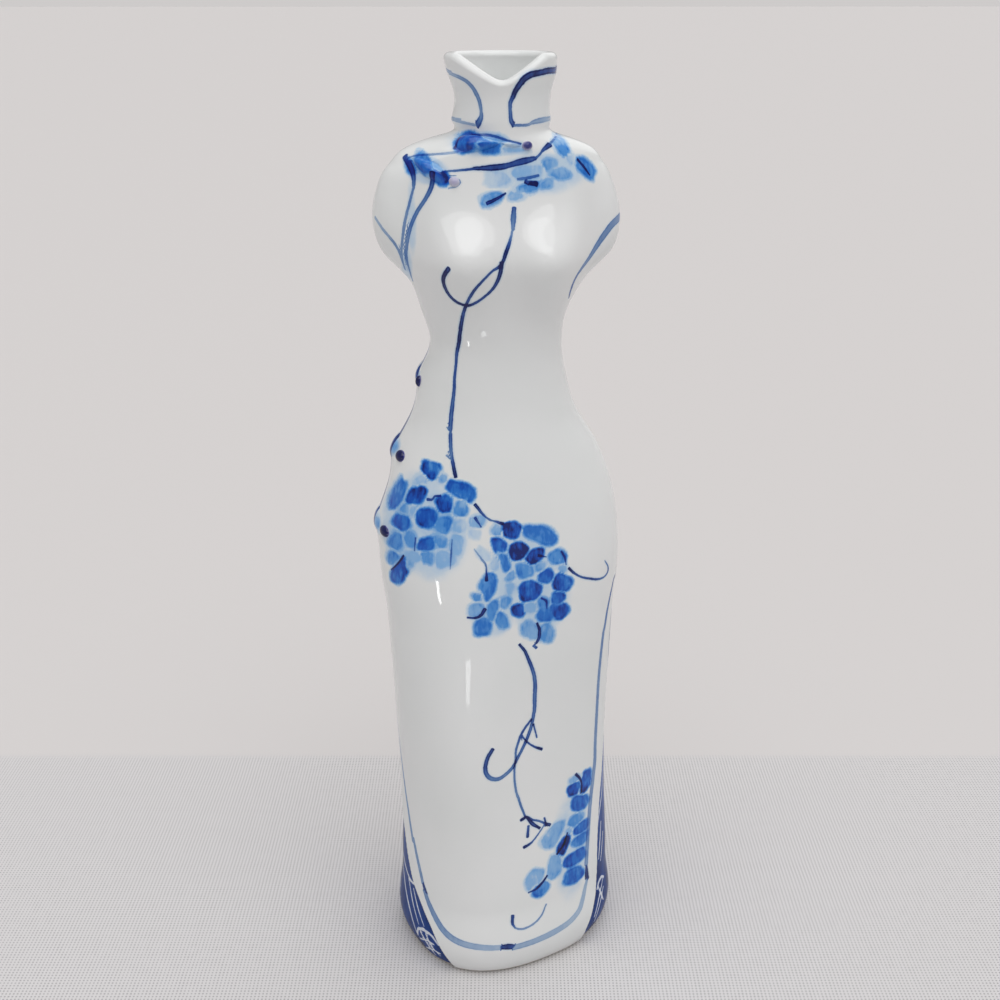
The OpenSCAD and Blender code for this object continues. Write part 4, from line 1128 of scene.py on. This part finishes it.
@dataclass(frozen=True)
class Glaze:
    """Clear porcelain glaze over a white body that is painted in cobalt."""

    name: str
    white: Colour = (0.852, 0.866, 0.866)
    base_wash: float = 0.0
    roughness: float = 0.5
    coat: float = 1.0
    coat_roughness: float = 0.03
    coat_ior: float = 1.42
    cobalt: tuple[tuple[float, Colour], ...] = (
        (0.13, (0.57, 0.705, 0.84)),
        (0.30, (0.25, 0.475, 0.79)),
        (0.46, (0.080, 0.300, 0.72)),
        (0.62, (0.018, 0.175, 0.62)),
        (0.80, (0.003, 0.088, 0.50)),
        (0.93, (0.002, 0.042, 0.32)),
        (1.00, (0.002, 0.016, 0.16)),
    )
    brushed: tuple[tuple[float, Colour], ...] = (
        (0.00, (1.0, 1.0, 1.0)),
        (0.15, (0.74, 0.82, 0.92)),
        (0.32, (0.40, 0.54, 0.76)),
        (0.48, (0.20, 0.33, 0.60)),
        (0.64, (0.088, 0.205, 0.50)),
        (0.82, (0.026, 0.080, 0.35)),
        (1.00, (0.004, 0.010, 0.11)),
    )
    trousers: tuple[tuple[float, Colour], ...] = (
        (0.0, (0.80, 0.82, 0.86)),
        (0.35, (0.31, 0.40, 0.64)),
        (0.6, (0.085, 0.150, 0.41)),
        (0.8, (0.013, 0.055, 0.25)),
        (1.0, (0.003, 0.014, 0.10)),
    )

    def dabs(self, bench: Bench, ragged: Socket, streaks: Socket) -> Socket:
        """How much cobalt the dabs leave: soft edges, a pooled rim, a dark side and pale joints."""
        distance, tone, lean = bench.field("dab")
        edge = bench.math("ADD", bench.math("SUBTRACT", distance, 0.42), ragged)
        soft = bench.math("MULTIPLY_ADD", tone, -0.45, 0.92)
        inside = bench.ramp(edge, soft, bench.math("MULTIPLY", soft, -1.0))
        rim = bench.ramp(bench.math("ABSOLUTE", bench.math("ADD", edge, 0.55)), 0.0, 0.45, 0.09, 0.0)
        shade = bench.math("MULTIPLY_ADD", lean, 0.14, 0.9)
        shade = bench.math("ADD", shade, bench.math("MULTIPLY_ADD", streaks, 1.5, rim))
        joint = bench.math("ADD", bench.number("dab_gap"), bench.math("MULTIPLY", bench.noise(0.6, 2), 0.35))
        closed = bench.ramp(bench.noise(6, 2), -0.02, 0.16, 0.32, 0.92)
        joint = bench.ramp(joint, 0.0, 0.50, closed, 1.0)
        kept = bench.math("MULTIPLY", bench.math("MULTIPLY", tone, shade), joint)
        return bench.math("MULTIPLY", kept, inside, clamp=True)

    def lines(self, bench: Bench, edges: str, tints: str, ragged: Socket, streaks: Socket,
              soft: float) -> Socket:
        """How much colour the brush lines leave: a crisp edge, a darker rim and a thin bleed."""
        across, away, half = bench.field(edges)
        tone = bench.field(tints)[0]
        off = bench.math("MAXIMUM", bench.math("ABSOLUTE", across), bench.math("SUBTRACT", away, 0.28))
        out = bench.math("SUBTRACT", bench.math("ADD", off, ragged), half)
        inside = bench.ramp(out, soft, -soft)
        pool = bench.ramp(out, -0.5, -0.08, -0.09, 0.12)
        body = bench.math("ADD", bench.math("MULTIPLY_ADD", streaks, 0.55, 0.98), pool)
        bleed = bench.ramp(bench.math("SUBTRACT", away, half), 0.75, -0.1, 0.0, 0.14)
        kept = bench.math("MAXIMUM", bench.math("MULTIPLY", inside, body), bleed)
        return bench.math("MULTIPLY", tone, kept, clamp=True)

    def material(self) -> bpy.types.Material:
        """The finish as a material."""
        bench = Bench(self.name)
        ragged = bench.math("ADD", bench.math("MULTIPLY", bench.noise(2.6, 3), 0.9),
                            bench.math("MULTIPLY", bench.noise(0.5, 2), 0.35))
        streaks = bench.math("ADD", bench.math("MULTIPLY", bench.noise(0.9, 3, (1, 1, 0.32)), 0.55),
                             bench.math("MULTIPLY", bench.noise(3.4, 2), 0.6))
        fine = bench.math("MULTIPLY", bench.noise(0.7, 2), 0.22)
        dabs = self.dabs(bench, ragged, streaks)
        drawn = [self.lines(bench, f"line_{k}", f"line_tint_{k}", fine, streaks, 0.13) for k in (0, 1)]
        drawn = bench.math("ADD", *drawn, clamp=True)
        wash = bench.math("MULTIPLY", bench.number("wash"),
                          bench.math("MULTIPLY_ADD", bench.noise(3, 3), 1.4, 1.0), clamp=True)
        bare = bench.math("MULTIPLY", bench.math("SUBTRACT", 1.0, dabs),
                          bench.math("SUBTRACT", 1.0 - self.base_wash, wash))
        pigment = bench.math("SUBTRACT", 1.0, bare)
        pale = bench.mix(bench.ramp(bench.noise(26, 2), -0.2, 0.2), self.white,
                         tuple(c * k for c, k in zip(self.white, (0.975, 0.985, 0.98))))
        painted = bench.mix(bench.ramp(pigment, 0.0, 0.13), pale, bench.tint(pigment, self.cobalt))
        painted = bench.mix(1.0, painted, bench.tint(drawn, self.brushed), "MULTIPLY")
        height = bench.nodes.new("ShaderNodeSeparateXYZ")
        bench.feed(height.inputs[0], bench.place)
        rise = height.outputs[2]
        cloth = bench.number("cloth")
        dye = bench.ramp(rise, 0.012, 0.060, 0.86, 0.62)
        dye = bench.math("ADD", dye, bench.math("MULTIPLY", bench.noise(4.5, 4, (1, 1, 0.25)), 0.5))
        dye = bench.math("ADD", dye, bench.ramp(cloth, 1.4, 0.2, 0.0, 0.08))
        scraped = self.lines(bench, "scrape", "scrape_tint", bench.math("MULTIPLY", fine, 1.2), streaks, 0.12)
        dye = bench.math("MULTIPLY", dye, bench.math("SUBTRACT", 1.0, bench.math("MULTIPLY", scraped, 0.92)),
                         clamp=True)
        inside = bench.ramp(bench.math("ADD", cloth, bench.math("MULTIPLY", fine, 0.8)), 0.05, 0.4)
        colour = bench.mix(inside, painted, bench.tint(dye, self.trousers))
        foot = bench.ramp(bench.math("ADD", rise, bench.math("MULTIPLY", bench.noise(1.5, 3), 0.0006)),
                          0.0011, 0.0007)
        colour = bench.mix(foot, colour, (0.62, 0.58, 0.52))
        bench.feed(bench.shader.inputs["Base Color"], colour)
        polish = bench.math("MULTIPLY_ADD", bench.noise(9, 3), 0.06, self.roughness)
        bench.feed(bench.shader.inputs["Roughness"],
                   bench.math("MAXIMUM", polish, bench.math("MULTIPLY", foot, 0.8)))
        bench.shader.inputs["Specular IOR Level"].default_value = 0.0
        bench.feed(bench.shader.inputs["Coat Weight"], bench.math("MULTIPLY_ADD", inside, -0.5, self.coat))
        bench.shader.inputs["Coat Roughness"].default_value = self.coat_roughness
        bench.shader.inputs["Coat IOR"].default_value = self.coat_ior
        bench.bump((bench.noise(22, 1), 0.10), (bench.noise(5, 2), 0.012), (bench.noise(0.8, 2), 0.0016))
        return bench.material


@dataclass(frozen=True)
class InkKnot:
    """A knot under thick cobalt, darkest on its crown and paler where the glaze runs off."""

    name: str
    depth: float
    roughness: float = 0.3

    def material(self) -> bpy.types.Material:
        """The finish as a material."""
        bench = Bench(self.name)
        tone = bench.math("ADD", bench.number("crown"), bench.math("MULTIPLY", bench.noise(0.8, 3), 0.3))
        tone = bench.math("MULTIPLY", tone, self.depth)
        colour = bench.tint(tone,
                            ((0.0, (0.68, 0.70, 0.78)), (0.12, (0.40, 0.38, 0.58)),
                             (0.3, (0.04, 0.045, 0.22)), (0.5, (0.006, 0.010, 0.085))))
        bench.feed(bench.shader.inputs["Base Color"], colour)
        bench.feed(bench.shader.inputs["Roughness"],
                   bench.math("MULTIPLY_ADD", bench.noise(2, 2), 0.08, self.roughness))
        bench.shader.inputs["Specular IOR Level"].default_value = 0.0
        bench.shader.inputs["Coat Weight"].default_value = 1.0
        bench.shader.inputs["Coat Roughness"].default_value = 0.04
        bench.shader.inputs["Coat IOR"].default_value = 1.42
        bench.bump((bench.noise(1.2, 2), 0.01))
        return bench.material


@dataclass(frozen=True)
class BareClay:
    """Unglazed fired porcelain: warm off-white and sandy, with a few iron specks."""

    name: str = "bare_clay"
    colour: Colour = (0.66, 0.61, 0.54)

    def material(self) -> bpy.types.Material:
        """The finish as a material."""
        bench = Bench(self.name)
        mottled = bench.mix(bench.ramp(bench.noise(6, 4), -0.2, 0.2), self.colour,
                            tuple(c * 0.86 for c in self.colour))
        specks = bench.ramp(bench.noise(0.6, 1), 0.24, 0.3)
        bench.feed(bench.shader.inputs["Base Color"], bench.mix(specks, mottled, (0.30, 0.22, 0.15)))
        bench.feed(bench.shader.inputs["Roughness"],
                   bench.math("MULTIPLY_ADD", bench.noise(1.5, 3), 0.15, 0.82))
        bench.bump((bench.noise(0.35, 3), 0.04), (bench.noise(4, 2), 0.06))
        return bench.material


# ---------------------------------------------------------------- the pieces


def evened(share: Array) -> Array:
    """Bearings for columns from -90 to 90, spread so that they lie evenly on a squared oval."""
    turn = np.radians(share)
    side, ahead = (np.sign(f) * np.abs(f) ** 1.1 for f in (np.sin(turn), np.cos(turn)))
    return np.degrees(np.arctan2(side, ahead))


@dataclass
class BodyHalf:
    """The front or the back of the cast body: its skin, its inner wall, and the edges between."""

    figure: Figure
    brushwork: Brushwork
    middle: float
    rows: tuple[tuple[float, float], ...]
    columns: int
    foot_round: float = 0.8
    set_back: float = 0.7

    def outer(self, level: Array, turn: Array) -> Array:
        """The skin. Below the foot's rounding the level becomes an angle: z = r - r cos a."""
        bearing = self.middle + evened(turn)
        r = self.foot_round
        angle = np.radians(45 * np.clip(level / r, -1, 1) + 45)
        height = np.where(level < r, r - r * np.cos(angle), level)
        inset = np.where(level < r, r - r * np.sin(angle), 0.0)
        return self.figure.skin(bearing, height, inset + self.relief(bearing, height))

    def relief(self, bearing: Array, height: Array) -> Array:
        """How far the skin is set back: the trousers lie behind the edges of the skirt."""
        depth = np.maximum(*(slit.depth(self.figure, bearing, height) for slit in (LEFT_SLIT, RIGHT_SLIT)))
        return self.set_back * smooth((depth + 0.1) / 0.9)

    def inner(self, height: Array, turn: Array) -> Array:
        """The inner wall, lowered under the shoulders, and drawn in to the throat at the top."""
        bearing = self.middle - evened(turn)
        wall = self.figure.skin(bearing, height, WALL)
        wall[..., 2] -= WALL * smooth((height - 188) / 20)
        side, ahead = np.sin(np.radians(bearing)), np.cos(np.radians(bearing))
        reach = THROAT_RADIUS + 0.5
        throat = np.stack([NECK_X + reach * side, NECK_Y - reach * ahead, height], -1)
        share = smooth((height - 207.5) / 3)[..., None]
        return blend(wall, throat, share)

    def piece(self, name: str, finish: bpy.types.Material) -> bpy.types.Object:
        """Builds and dresses this half."""
        levels = np.concatenate(
            [ladder(-self.foot_round, (self.foot_round, 0.32)), ladder(self.foot_round, *self.rows)[1:]])
        turns = np.linspace(-90, 90, self.columns)
        skin = sheet_of(self.outer, levels, turns, (0.05, 0.15))
        heights = ladder(0.4, (204, 4), (NECK_HEIGHT, 1.2))
        inside = sheet_of(self.inner, heights, np.linspace(-90, 90, 46), (0.1, 0.2))
        maker = MeshMaker(name, self.figure)
        out, back = maker.add(skin), maker.add(inside)[:, ::-1]
        maker.join(out[-1], back[-1])
        maker.join(out[0, ::-1], back[0, ::-1])
        maker.join(out[:, 0], back[:, 0], levels, heights)
        maker.join(out[::-1, -1], back[::-1, -1], -levels[::-1], -heights[::-1])
        level, turn = (grid.ravel() for grid in np.meshgrid(levels, turns, indexing="ij"))
        bearing = self.middle + evened(turn)
        plain = self.figure.skin(bearing, np.clip(level, 0.02, None))
        maker.paint(self.brushwork.over(plain, self.figure.outward(bearing, np.clip(level, 0.1, None)),
                                        bearing))
        return maker.build(finish, "porcelain", [name])


@dataclass
class Collar:
    """The standing collar, with its thick rounded lip, the notch at the front, and the throat."""

    figure: Figure
    brushwork: Brushwork
    lip: float = 2.8
    notch: float = 7.2
    notch_bearing: float = -6.0
    notch_span: float = 58.0

    def rim(self, bearing: Array) -> Array:
        """Height of the rim: level, and falling in a soft V to the notch."""
        turn = np.abs(bearing - self.notch_bearing)
        away = np.where(turn >= self.notch_span, 1.0,
                        np.sin(np.radians(turn)) / np.sin(radians(self.notch_span)))
        return FULL_HEIGHT - self.notch * (1 - np.sqrt(away**2 + 0.06) / np.sqrt(1.06))

    def shape(self, level: Array, bearing: Array) -> Array:
        """The collar's profile: outside to level 1, lip to 2, flare to 3, throat to 4, and under."""
        z = self.rim(bearing) - self.lip / 2
        side, ahead = np.sin(np.radians(bearing)), np.cos(np.radians(bearing))

        def ring(radius: float, height: Array) -> Array:
            """A circle round the throat's axis."""
            return np.stack([NECK_X + radius * side, NECK_Y - radius * ahead, height + 0 * side], -1)

        turn = np.pi * np.clip(level - 1, 0, 1)
        roll = self.figure.skin(bearing, z, self.lip / 2 * (1 - np.cos(turn)))
        roll[..., 2] += self.lip / 2 * np.sin(turn)
        t = np.clip(level - 2, 0, 1)
        down = blend(z, LEDGE_HEIGHT, t)
        flare = blend(self.figure.skin(bearing, down, self.lip), ring(THROAT_RADIUS, down),
                      smooth(t)[..., None])
        bore = ring(THROAT_RADIUS, blend(LEDGE_HEIGHT, NECK_HEIGHT, np.clip(level - 3, 0, 1)))
        foot = self.figure.skin(bearing, np.full_like(level, NECK_HEIGHT))
        under = blend(ring(THROAT_RADIUS, np.full_like(level, NECK_HEIGHT)), foot,
                      np.clip(level - 4, 0, 1)[..., None])
        outside = self.figure.skin(bearing, blend(NECK_HEIGHT, z, level))
        level = level[..., None]
        return np.select([level < 1, level < 2, level < 3, level < 4], [outside, roll, flare, bore], under)

    def piece(self, name: str, finish: bpy.types.Material) -> bpy.types.Object:
        """Builds and dresses the collar."""
        levels = ladder(0, (1, 1 / 52), (2, 1 / 16), (3, 1 / 22), (4, 1 / 8), (4.8, 0.2))
        bearings = np.arange(-180, 180, 1.25)
        sheet = sheet_of(self.shape, levels, bearings, (0.004, 0.3), wrap_rows=True, wrap_columns=True)
        maker = MeshMaker(name, self.figure)
        maker.add(sheet)
        around = np.tile(bearings, len(levels))
        maker.paint(self.brushwork.over(sheet.points.reshape(-1, 3), sheet.normals.reshape(-1, 3), around))
        return maker.build(finish, "porcelain", [name])


class Crown(Enum):
    """How a clay pad rises from the skin, as a power of 1 - r^2 and a fullness of r."""

    LEAF = (1.1, 2.6)
    CORD = (0.8, 2.0)
    KNOT = (0.5, 2.0)


@dataclass
class Pad:
    """A leaf, cord or knot of a frog: clay pressed on the skin under the glaze.

    Across the pad, two numbers run from -1 to 1. On the front they step along and across a
    tilted leaf in millimetres. On the side the first steps in degrees of bearing.
    """

    name: str
    slot: str
    at: tuple[float, float]
    half: tuple[float, float]
    stands_out: float
    crown: Crown
    tilt: float = 0.0
    taper: float = 0.0
    chart: Chart = Chart.FRONT
    fineness: int = 42

    def spots(self, figure: Figure, e: Array, f: Array) -> tuple[Array, Array]:
        """Bearings and heights of the pad's points on the skin."""
        if self.chart is Chart.ROUND:
            return self.at[0] + self.half[0] * e, self.at[1] + self.half[1] * f
        a, b = self.half[0] * e, self.half[1] * f * (1 - self.taper * e)
        cos, sin = np.cos(radians(self.tilt)), np.sin(radians(self.tilt))
        x, z = self.at[0] + a * cos - b * sin, self.at[1] + a * sin + b * cos
        return figure.front_bearing(x, z), z

    def piece(self, figure: Figure, brushwork: Brushwork, finish: bpy.types.Material) -> bpy.types.Object:
        """Builds and dresses the pad: a disc made of a square grid, raised in the middle."""

        def disc(v: Array, u: Array) -> tuple[Array, Array, Array]:
            """Bearing, height and distance from the middle, for a point of the square grid."""
            e, f = u * np.sqrt(1 - v * v / 2), v * np.sqrt(1 - u * u / 2)
            return (*self.spots(figure, e, f), np.clip(np.hypot(e, f), 0, 1))

        def raised(v: Array, u: Array) -> Array:
            """The pad's face: h (1 - r^k)^p above the skin, and just inside it at the edge."""
            bearing, height, r = disc(v, u)
            power, fullness = self.crown.value
            rise = self.stands_out * (1 - r**fullness) ** power - 0.14
            return figure.skin(bearing, height) + rise[..., None] * figure.outward(bearing, height)

        def sunk(v: Array, u: Array) -> Array:
            """The pad's underside, hidden in the wall of the body."""
            bearing, height, _ = disc(v, -u)
            return figure.skin(bearing, height) - 0.5 * figure.outward(bearing, height)

        span = np.linspace(-0.985, 0.985, self.fineness)
        face = sheet_of(raised, span, span, (0.006, 0.006))
        maker = MeshMaker(self.name, figure)
        top, under = maker.add(face), maker.add(sheet_of(sunk, span, span, (0.006, 0.006)))[:, ::-1]
        rings = [np.concatenate([g[0], g[1:, -1], g[-1, -2::-1], g[-2::-1, 0]]) for g in (top, under)]
        maker.join(rings[0][::-1], rings[1][::-1])
        v, u = (g.ravel() for g in np.meshgrid(span, span, indexing="ij"))
        bearing, height, r = disc(v, u)
        marks = brushwork.over(figure.skin(bearing, height), figure.outward(bearing, height), bearing)
        marks["crown"] = np.sqrt(1 - r**2)
        maker.paint(marks)
        return maker.build(finish, self.slot, [self.name])


SIDE_FROGS = (("upper", 157, -101, -82, 3.6), ("middle", 139.5, -98, -77, 5.0), ("lower", 121, -99, -80, 4.6))
KNOT = 1.2


def frogs() -> list[Pad]:
    """The leaf, cord and knot of every frog on the dress."""
    pads = [
        Pad("collar_frog_leaf", "cobalt", (-6, 211.4), (5, 1.7), 1.6, Crown.LEAF, 2, 0.35, fineness=64),
        Pad("collar_frog_cord", "cobalt", (1.4, 211.3), (2.4, 0.6), 0.72, Crown.CORD, -8, fineness=40),
        Pad("collar_frog_knot", "ink", (4.9, 210.9), (KNOT, 0.8 * KNOT), KNOT, Crown.KNOT, fineness=28),
        Pad("shoulder_frog_leaf", "cobalt", (-16.4, 205.9), (4.2, 1.8), 1.5, Crown.LEAF, -30, -0.2,
            fineness=60),
        Pad("shoulder_frog_knot", "ink", (-11.2, 203.5), (KNOT, 0.9 * KNOT), 0.8 * KNOT, Crown.KNOT, -10,
            fineness=28),
    ]
    for name, height, leaf, knot, spread in SIDE_FROGS:
        pads.append(Pad(f"side_frog_leaf_{name}", "cobalt", (leaf, height), (12, 3.4), 0.75, Crown.LEAF,
                        chart=Chart.ROUND, fineness=52))
        pads.append(Pad(f"side_frog_knot_{name}", "ink", (knot, height - 1), (KNOT * spread, 1.15 * KNOT),
                        0.9 * KNOT, Crown.KNOT, chart=Chart.ROUND, fineness=28))
    return pads


@dataclass
class FootSlab:
    """The slab that closes the foot, with its bare underside drawn up a little in the middle."""

    figure: Figure
    underside: float = 1.2
    topside: float = 4.2
    draught: float = 0.5
    fineness: int = 72

    def face(self, v: Array, u: Array, height: float, rise: float) -> Array:
        """A disc that reaches the inner wall: c + r (edge - c), and z = height + rise (1 - r^2)."""
        e, f = u * np.sqrt(1 - v * v / 2), v * np.sqrt(1 - u * u / 2)
        r = np.hypot(e, f)
        edge = self.figure.skin(np.degrees(np.arctan2(e, -f)), np.full_like(r, height), WALL)
        middle = np.array([1.2, -0.5, height])
        points = blend(middle, edge, r[..., None])
        points[..., 2] += rise * (1 - np.clip(r, 0, 1) ** 2)
        return points

    def piece(self, name: str, finish: bpy.types.Material) -> bpy.types.Object:
        """Builds and dresses the slab."""
        span = np.linspace(-0.99, 0.99, self.fineness)
        top = sheet_of(lambda v, u: self.face(v, u, self.topside, 0.0), span, span, (0.004, 0.004))
        under = sheet_of(lambda v, u: self.face(v, -u, self.underside, self.draught), span, span,
                         (0.004, 0.004))
        maker = MeshMaker(name, self.figure)
        grids = maker.add(top), maker.add(under)[:, ::-1]
        rings = [np.concatenate([g[0], g[1:, -1], g[-1, -2::-1], g[-2::-1, 0]]) for g in grids]
        maker.join(rings[0][::-1], rings[1][::-1])
        return maker.build(finish, "bare_clay", [name])


# ---------------------------------------------------------------- the room


@dataclass(frozen=True)
class SoftLamp:
    """A soft rectangular lamp that faces a point on the bottle."""

    name: str
    place: tuple[float, float, float]
    aim: tuple[float, float, float]
    size: tuple[float, float]
    watts: float
    lights_surfaces: bool = True
    colour: Colour = (1, 1, 1)

    def hang(self) -> bpy.types.Object:
        """Makes the lamp."""
        data = bpy.data.lights.new(self.name, "AREA")
        data.shape, data.size, data.size_y = "RECTANGLE", *self.size
        data.energy, data.color = self.watts, self.colour
        lamp = bpy.data.objects.new(self.name, data)
        bpy.context.scene.collection.objects.link(lamp)
        lamp.location = self.place
        lamp.visible_camera = False
        lamp.visible_diffuse = self.lights_surfaces
        towards = np.array(self.aim) - np.array(self.place)
        lamp.rotation_euler = Euler(
            (np.arccos(-towards[2] / np.linalg.norm(towards)), 0,
             np.arctan2(towards[1], towards[0]) - np.pi / 2))
        return lamp


@dataclass
class Studio:
    """A pale table, cloth-covered near the bottle and plain beyond, soft lamps, and the camera."""

    lamps: tuple[SoftLamp, ...] = (
        SoftLamp("lamp_window", (-0.08, -0.50, 0.68), (0, 0, 0.19), (1.1, 0.22), 1.5, False),
        SoftLamp("lamp_low", (-0.05, -0.25, 0.014), (-0.010, -0.024, 0.088), (0.03, 0.022), 0.010, False),
        SoftLamp("lamp_glint", (-0.167, -0.22, 0.040), (-0.0166, -0.02, 0.107), (0.014, 0.035), 0.022, False),
    )
    skies: tuple[tuple[float, float, float, float], ...] = ((8.0, 72.0, 65.0, 1.75),
        (150.0, 42.0, 60.0, 0.50))
    surround: Colour = (0.635, 0.615, 0.61)
    surround_strength: float = 0.62
    horizon_strength: float = 0.97
    table_reach: float = 90.0
    plain: Colour = (0.650, 0.631, 0.626)
    threads: Colour = (0.660, 0.650, 0.654)
    gaps: Colour = (0.380, 0.372, 0.380)
    cloth_edge: float = 0.077
    thread: float = 0.00098
    lens: float = 46.4
    distance: float = 0.300
    camera_height: float = 0.240
    camera_pitch: float = 21.1
    camera_azimuth: float = -6.0

    def table(self) -> bpy.types.Object:
        """A large level plane: woven cloth near the bottle, and plain beyond the cloth's edge."""
        mesh = bpy.data.meshes.new("table")
        reach = self.table_reach
        corners = [(-reach, -reach, CAD_LOW.z), (reach, -reach, CAD_LOW.z), (reach, reach, CAD_LOW.z),
                   (-reach, reach, CAD_LOW.z)]
        mesh.from_pydata(corners, [], [(0, 1, 2, 3)])
        bench = Bench("table_cloth")
        parts = bench.nodes.new("ShaderNodeSeparateXYZ")
        bench.feed(parts.inputs[0], bench.place)
        turn = radians(self.camera_azimuth)
        ahead = [bench.math("MULTIPLY", parts.outputs[k], part) for k,
                 part in enumerate((-np.sin(turn), np.cos(turn)))]
        aside = [bench.math("MULTIPLY", parts.outputs[k], part) for k,
                 part in enumerate((np.cos(turn), np.sin(turn)))]
        ahead, aside = bench.math("ADD", *ahead), bench.math("ADD", *aside)
        beyond = bench.ramp(ahead, self.cloth_edge, self.cloth_edge + 0.004)
        cell = 2 * np.pi / self.thread
        sway = bench.math("MULTIPLY", bench.noise(14, 2), 2.2)
        waves = [bench.math("SINE", bench.math("MULTIPLY_ADD", way, cell, sway)) for way in (ahead, aside)]
        holes = bench.math("MULTIPLY", *(bench.math("MULTIPLY_ADD", wave, 0.5, 0.5) for wave in waves))
        holes = bench.math("ADD", holes, bench.math("MULTIPLY", bench.noise(2.5, 3), 0.5))
        cloth = bench.mix(bench.ramp(holes, 0.25, 0.85), self.threads, self.gaps)
        bench.feed(bench.shader.inputs["Base Color"], bench.mix(beyond, cloth, self.plain))
        bench.shader.inputs["Roughness"].default_value = 0.9
        bench.shader.inputs["Specular IOR Level"].default_value = 0.1
        mesh.materials.append(bench.material)
        table = bpy.data.objects.new("table", mesh)
        bpy.context.scene.collection.objects.link(table)
        return table

    def sky(self) -> None:
        """Very soft lights, by azimuth, elevation, spread and strength, which fall evenly everywhere."""
        for azimuth, elevation, spread, strength in self.skies:
            data = bpy.data.lights.new("lamp_sky", "SUN")
            data.energy, data.angle = strength, radians(spread)
            lamp = bpy.data.objects.new("lamp_sky", data)
            bpy.context.scene.collection.objects.link(lamp)
            lamp.rotation_euler = (radians(90 - elevation), 0, radians(azimuth))

    def camera(self) -> bpy.types.Object:
        """The camera, a little to the wearer's right of the front and looking down."""
        data = bpy.data.cameras.new("camera")
        data.lens, data.sensor_width = self.lens, 36.0
        camera = bpy.data.objects.new("camera", data)
        bpy.context.scene.collection.objects.link(camera)
        turn = radians(self.camera_azimuth)
        camera.location = (self.distance * np.sin(turn), -self.distance * np.cos(turn), self.camera_height)
        camera.rotation_euler = (radians(90 - self.camera_pitch), 0, turn)
        bpy.context.scene.camera = camera
        return camera

    def set_up(self) -> None:
        """Makes the table, the lamps, the surroundings and the camera."""
        self.table()
        for lamp in self.lamps:
            lamp.hang()
        self.sky()
        world = bpy.data.worlds.new("room")
        world.use_nodes = True
        ground = world.node_tree.nodes["Background"]
        ground.inputs["Color"].default_value = (*self.surround, 1)
        seen = world.node_tree.nodes.new("ShaderNodeLightPath").outputs["Is Camera Ray"]
        strength = world.node_tree.nodes.new("ShaderNodeMath")
        strength.operation = "MULTIPLY_ADD"
        strength.inputs[1].default_value = self.horizon_strength - self.surround_strength
        strength.inputs[2].default_value = self.surround_strength
        world.node_tree.links.new(seen, strength.inputs[0])
        world.node_tree.links.new(strength.outputs[0], ground.inputs["Strength"])
        bpy.context.scene.world = world
        bpy.context.scene.view_settings.view_transform = "Standard"
        self.camera()


BODY = next(iter(frame["bodies"]))


def main() -> None:
    """Builds the bottle piece by piece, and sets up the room."""
    logging.basicConfig(level=logging.INFO, format="%(name)s: %(message)s")
    figure = Figure(SECTIONS, SWELLINGS)
    brushwork = Brushwork(figure)
    glaze = Glaze("painted_porcelain").material()
    leaf_glaze = Glaze("cobalt_glaze", base_wash=0.05).material()
    dark_knot = InkKnot("ink_knot", 1.0).material()
    worn_knots = {"collar_frog_knot": InkKnot("worn_knot", 0.34).material(),
                  "shoulder_frog_knot": InkKnot("pale_knot", 0.09).material()}
    clay = BareClay().material()
    front_rows = ((56, 0.45), (92, 0.7), (140, 0.42), (176, 0.7), (NECK_HEIGHT, 0.45))
    back_rows = ((40, 0.55), (NECK_HEIGHT, 0.75))
    BodyHalf(figure, brushwork, 0.0, front_rows, 208).piece("body_front", glaze)
    BodyHalf(figure, brushwork, 180.0, back_rows, 170).piece("body_back", glaze)
    Collar(figure, brushwork).piece("collar", glaze)
    for pad in frogs():
        pad.piece(figure, brushwork, worn_knots.get(pad.name, dark_knot) if pad.slot == "ink" else leaf_glaze)
    FootSlab(figure).piece("foot_slab", clay)
    Studio().set_up()


if __name__ == "__main__":
    main()
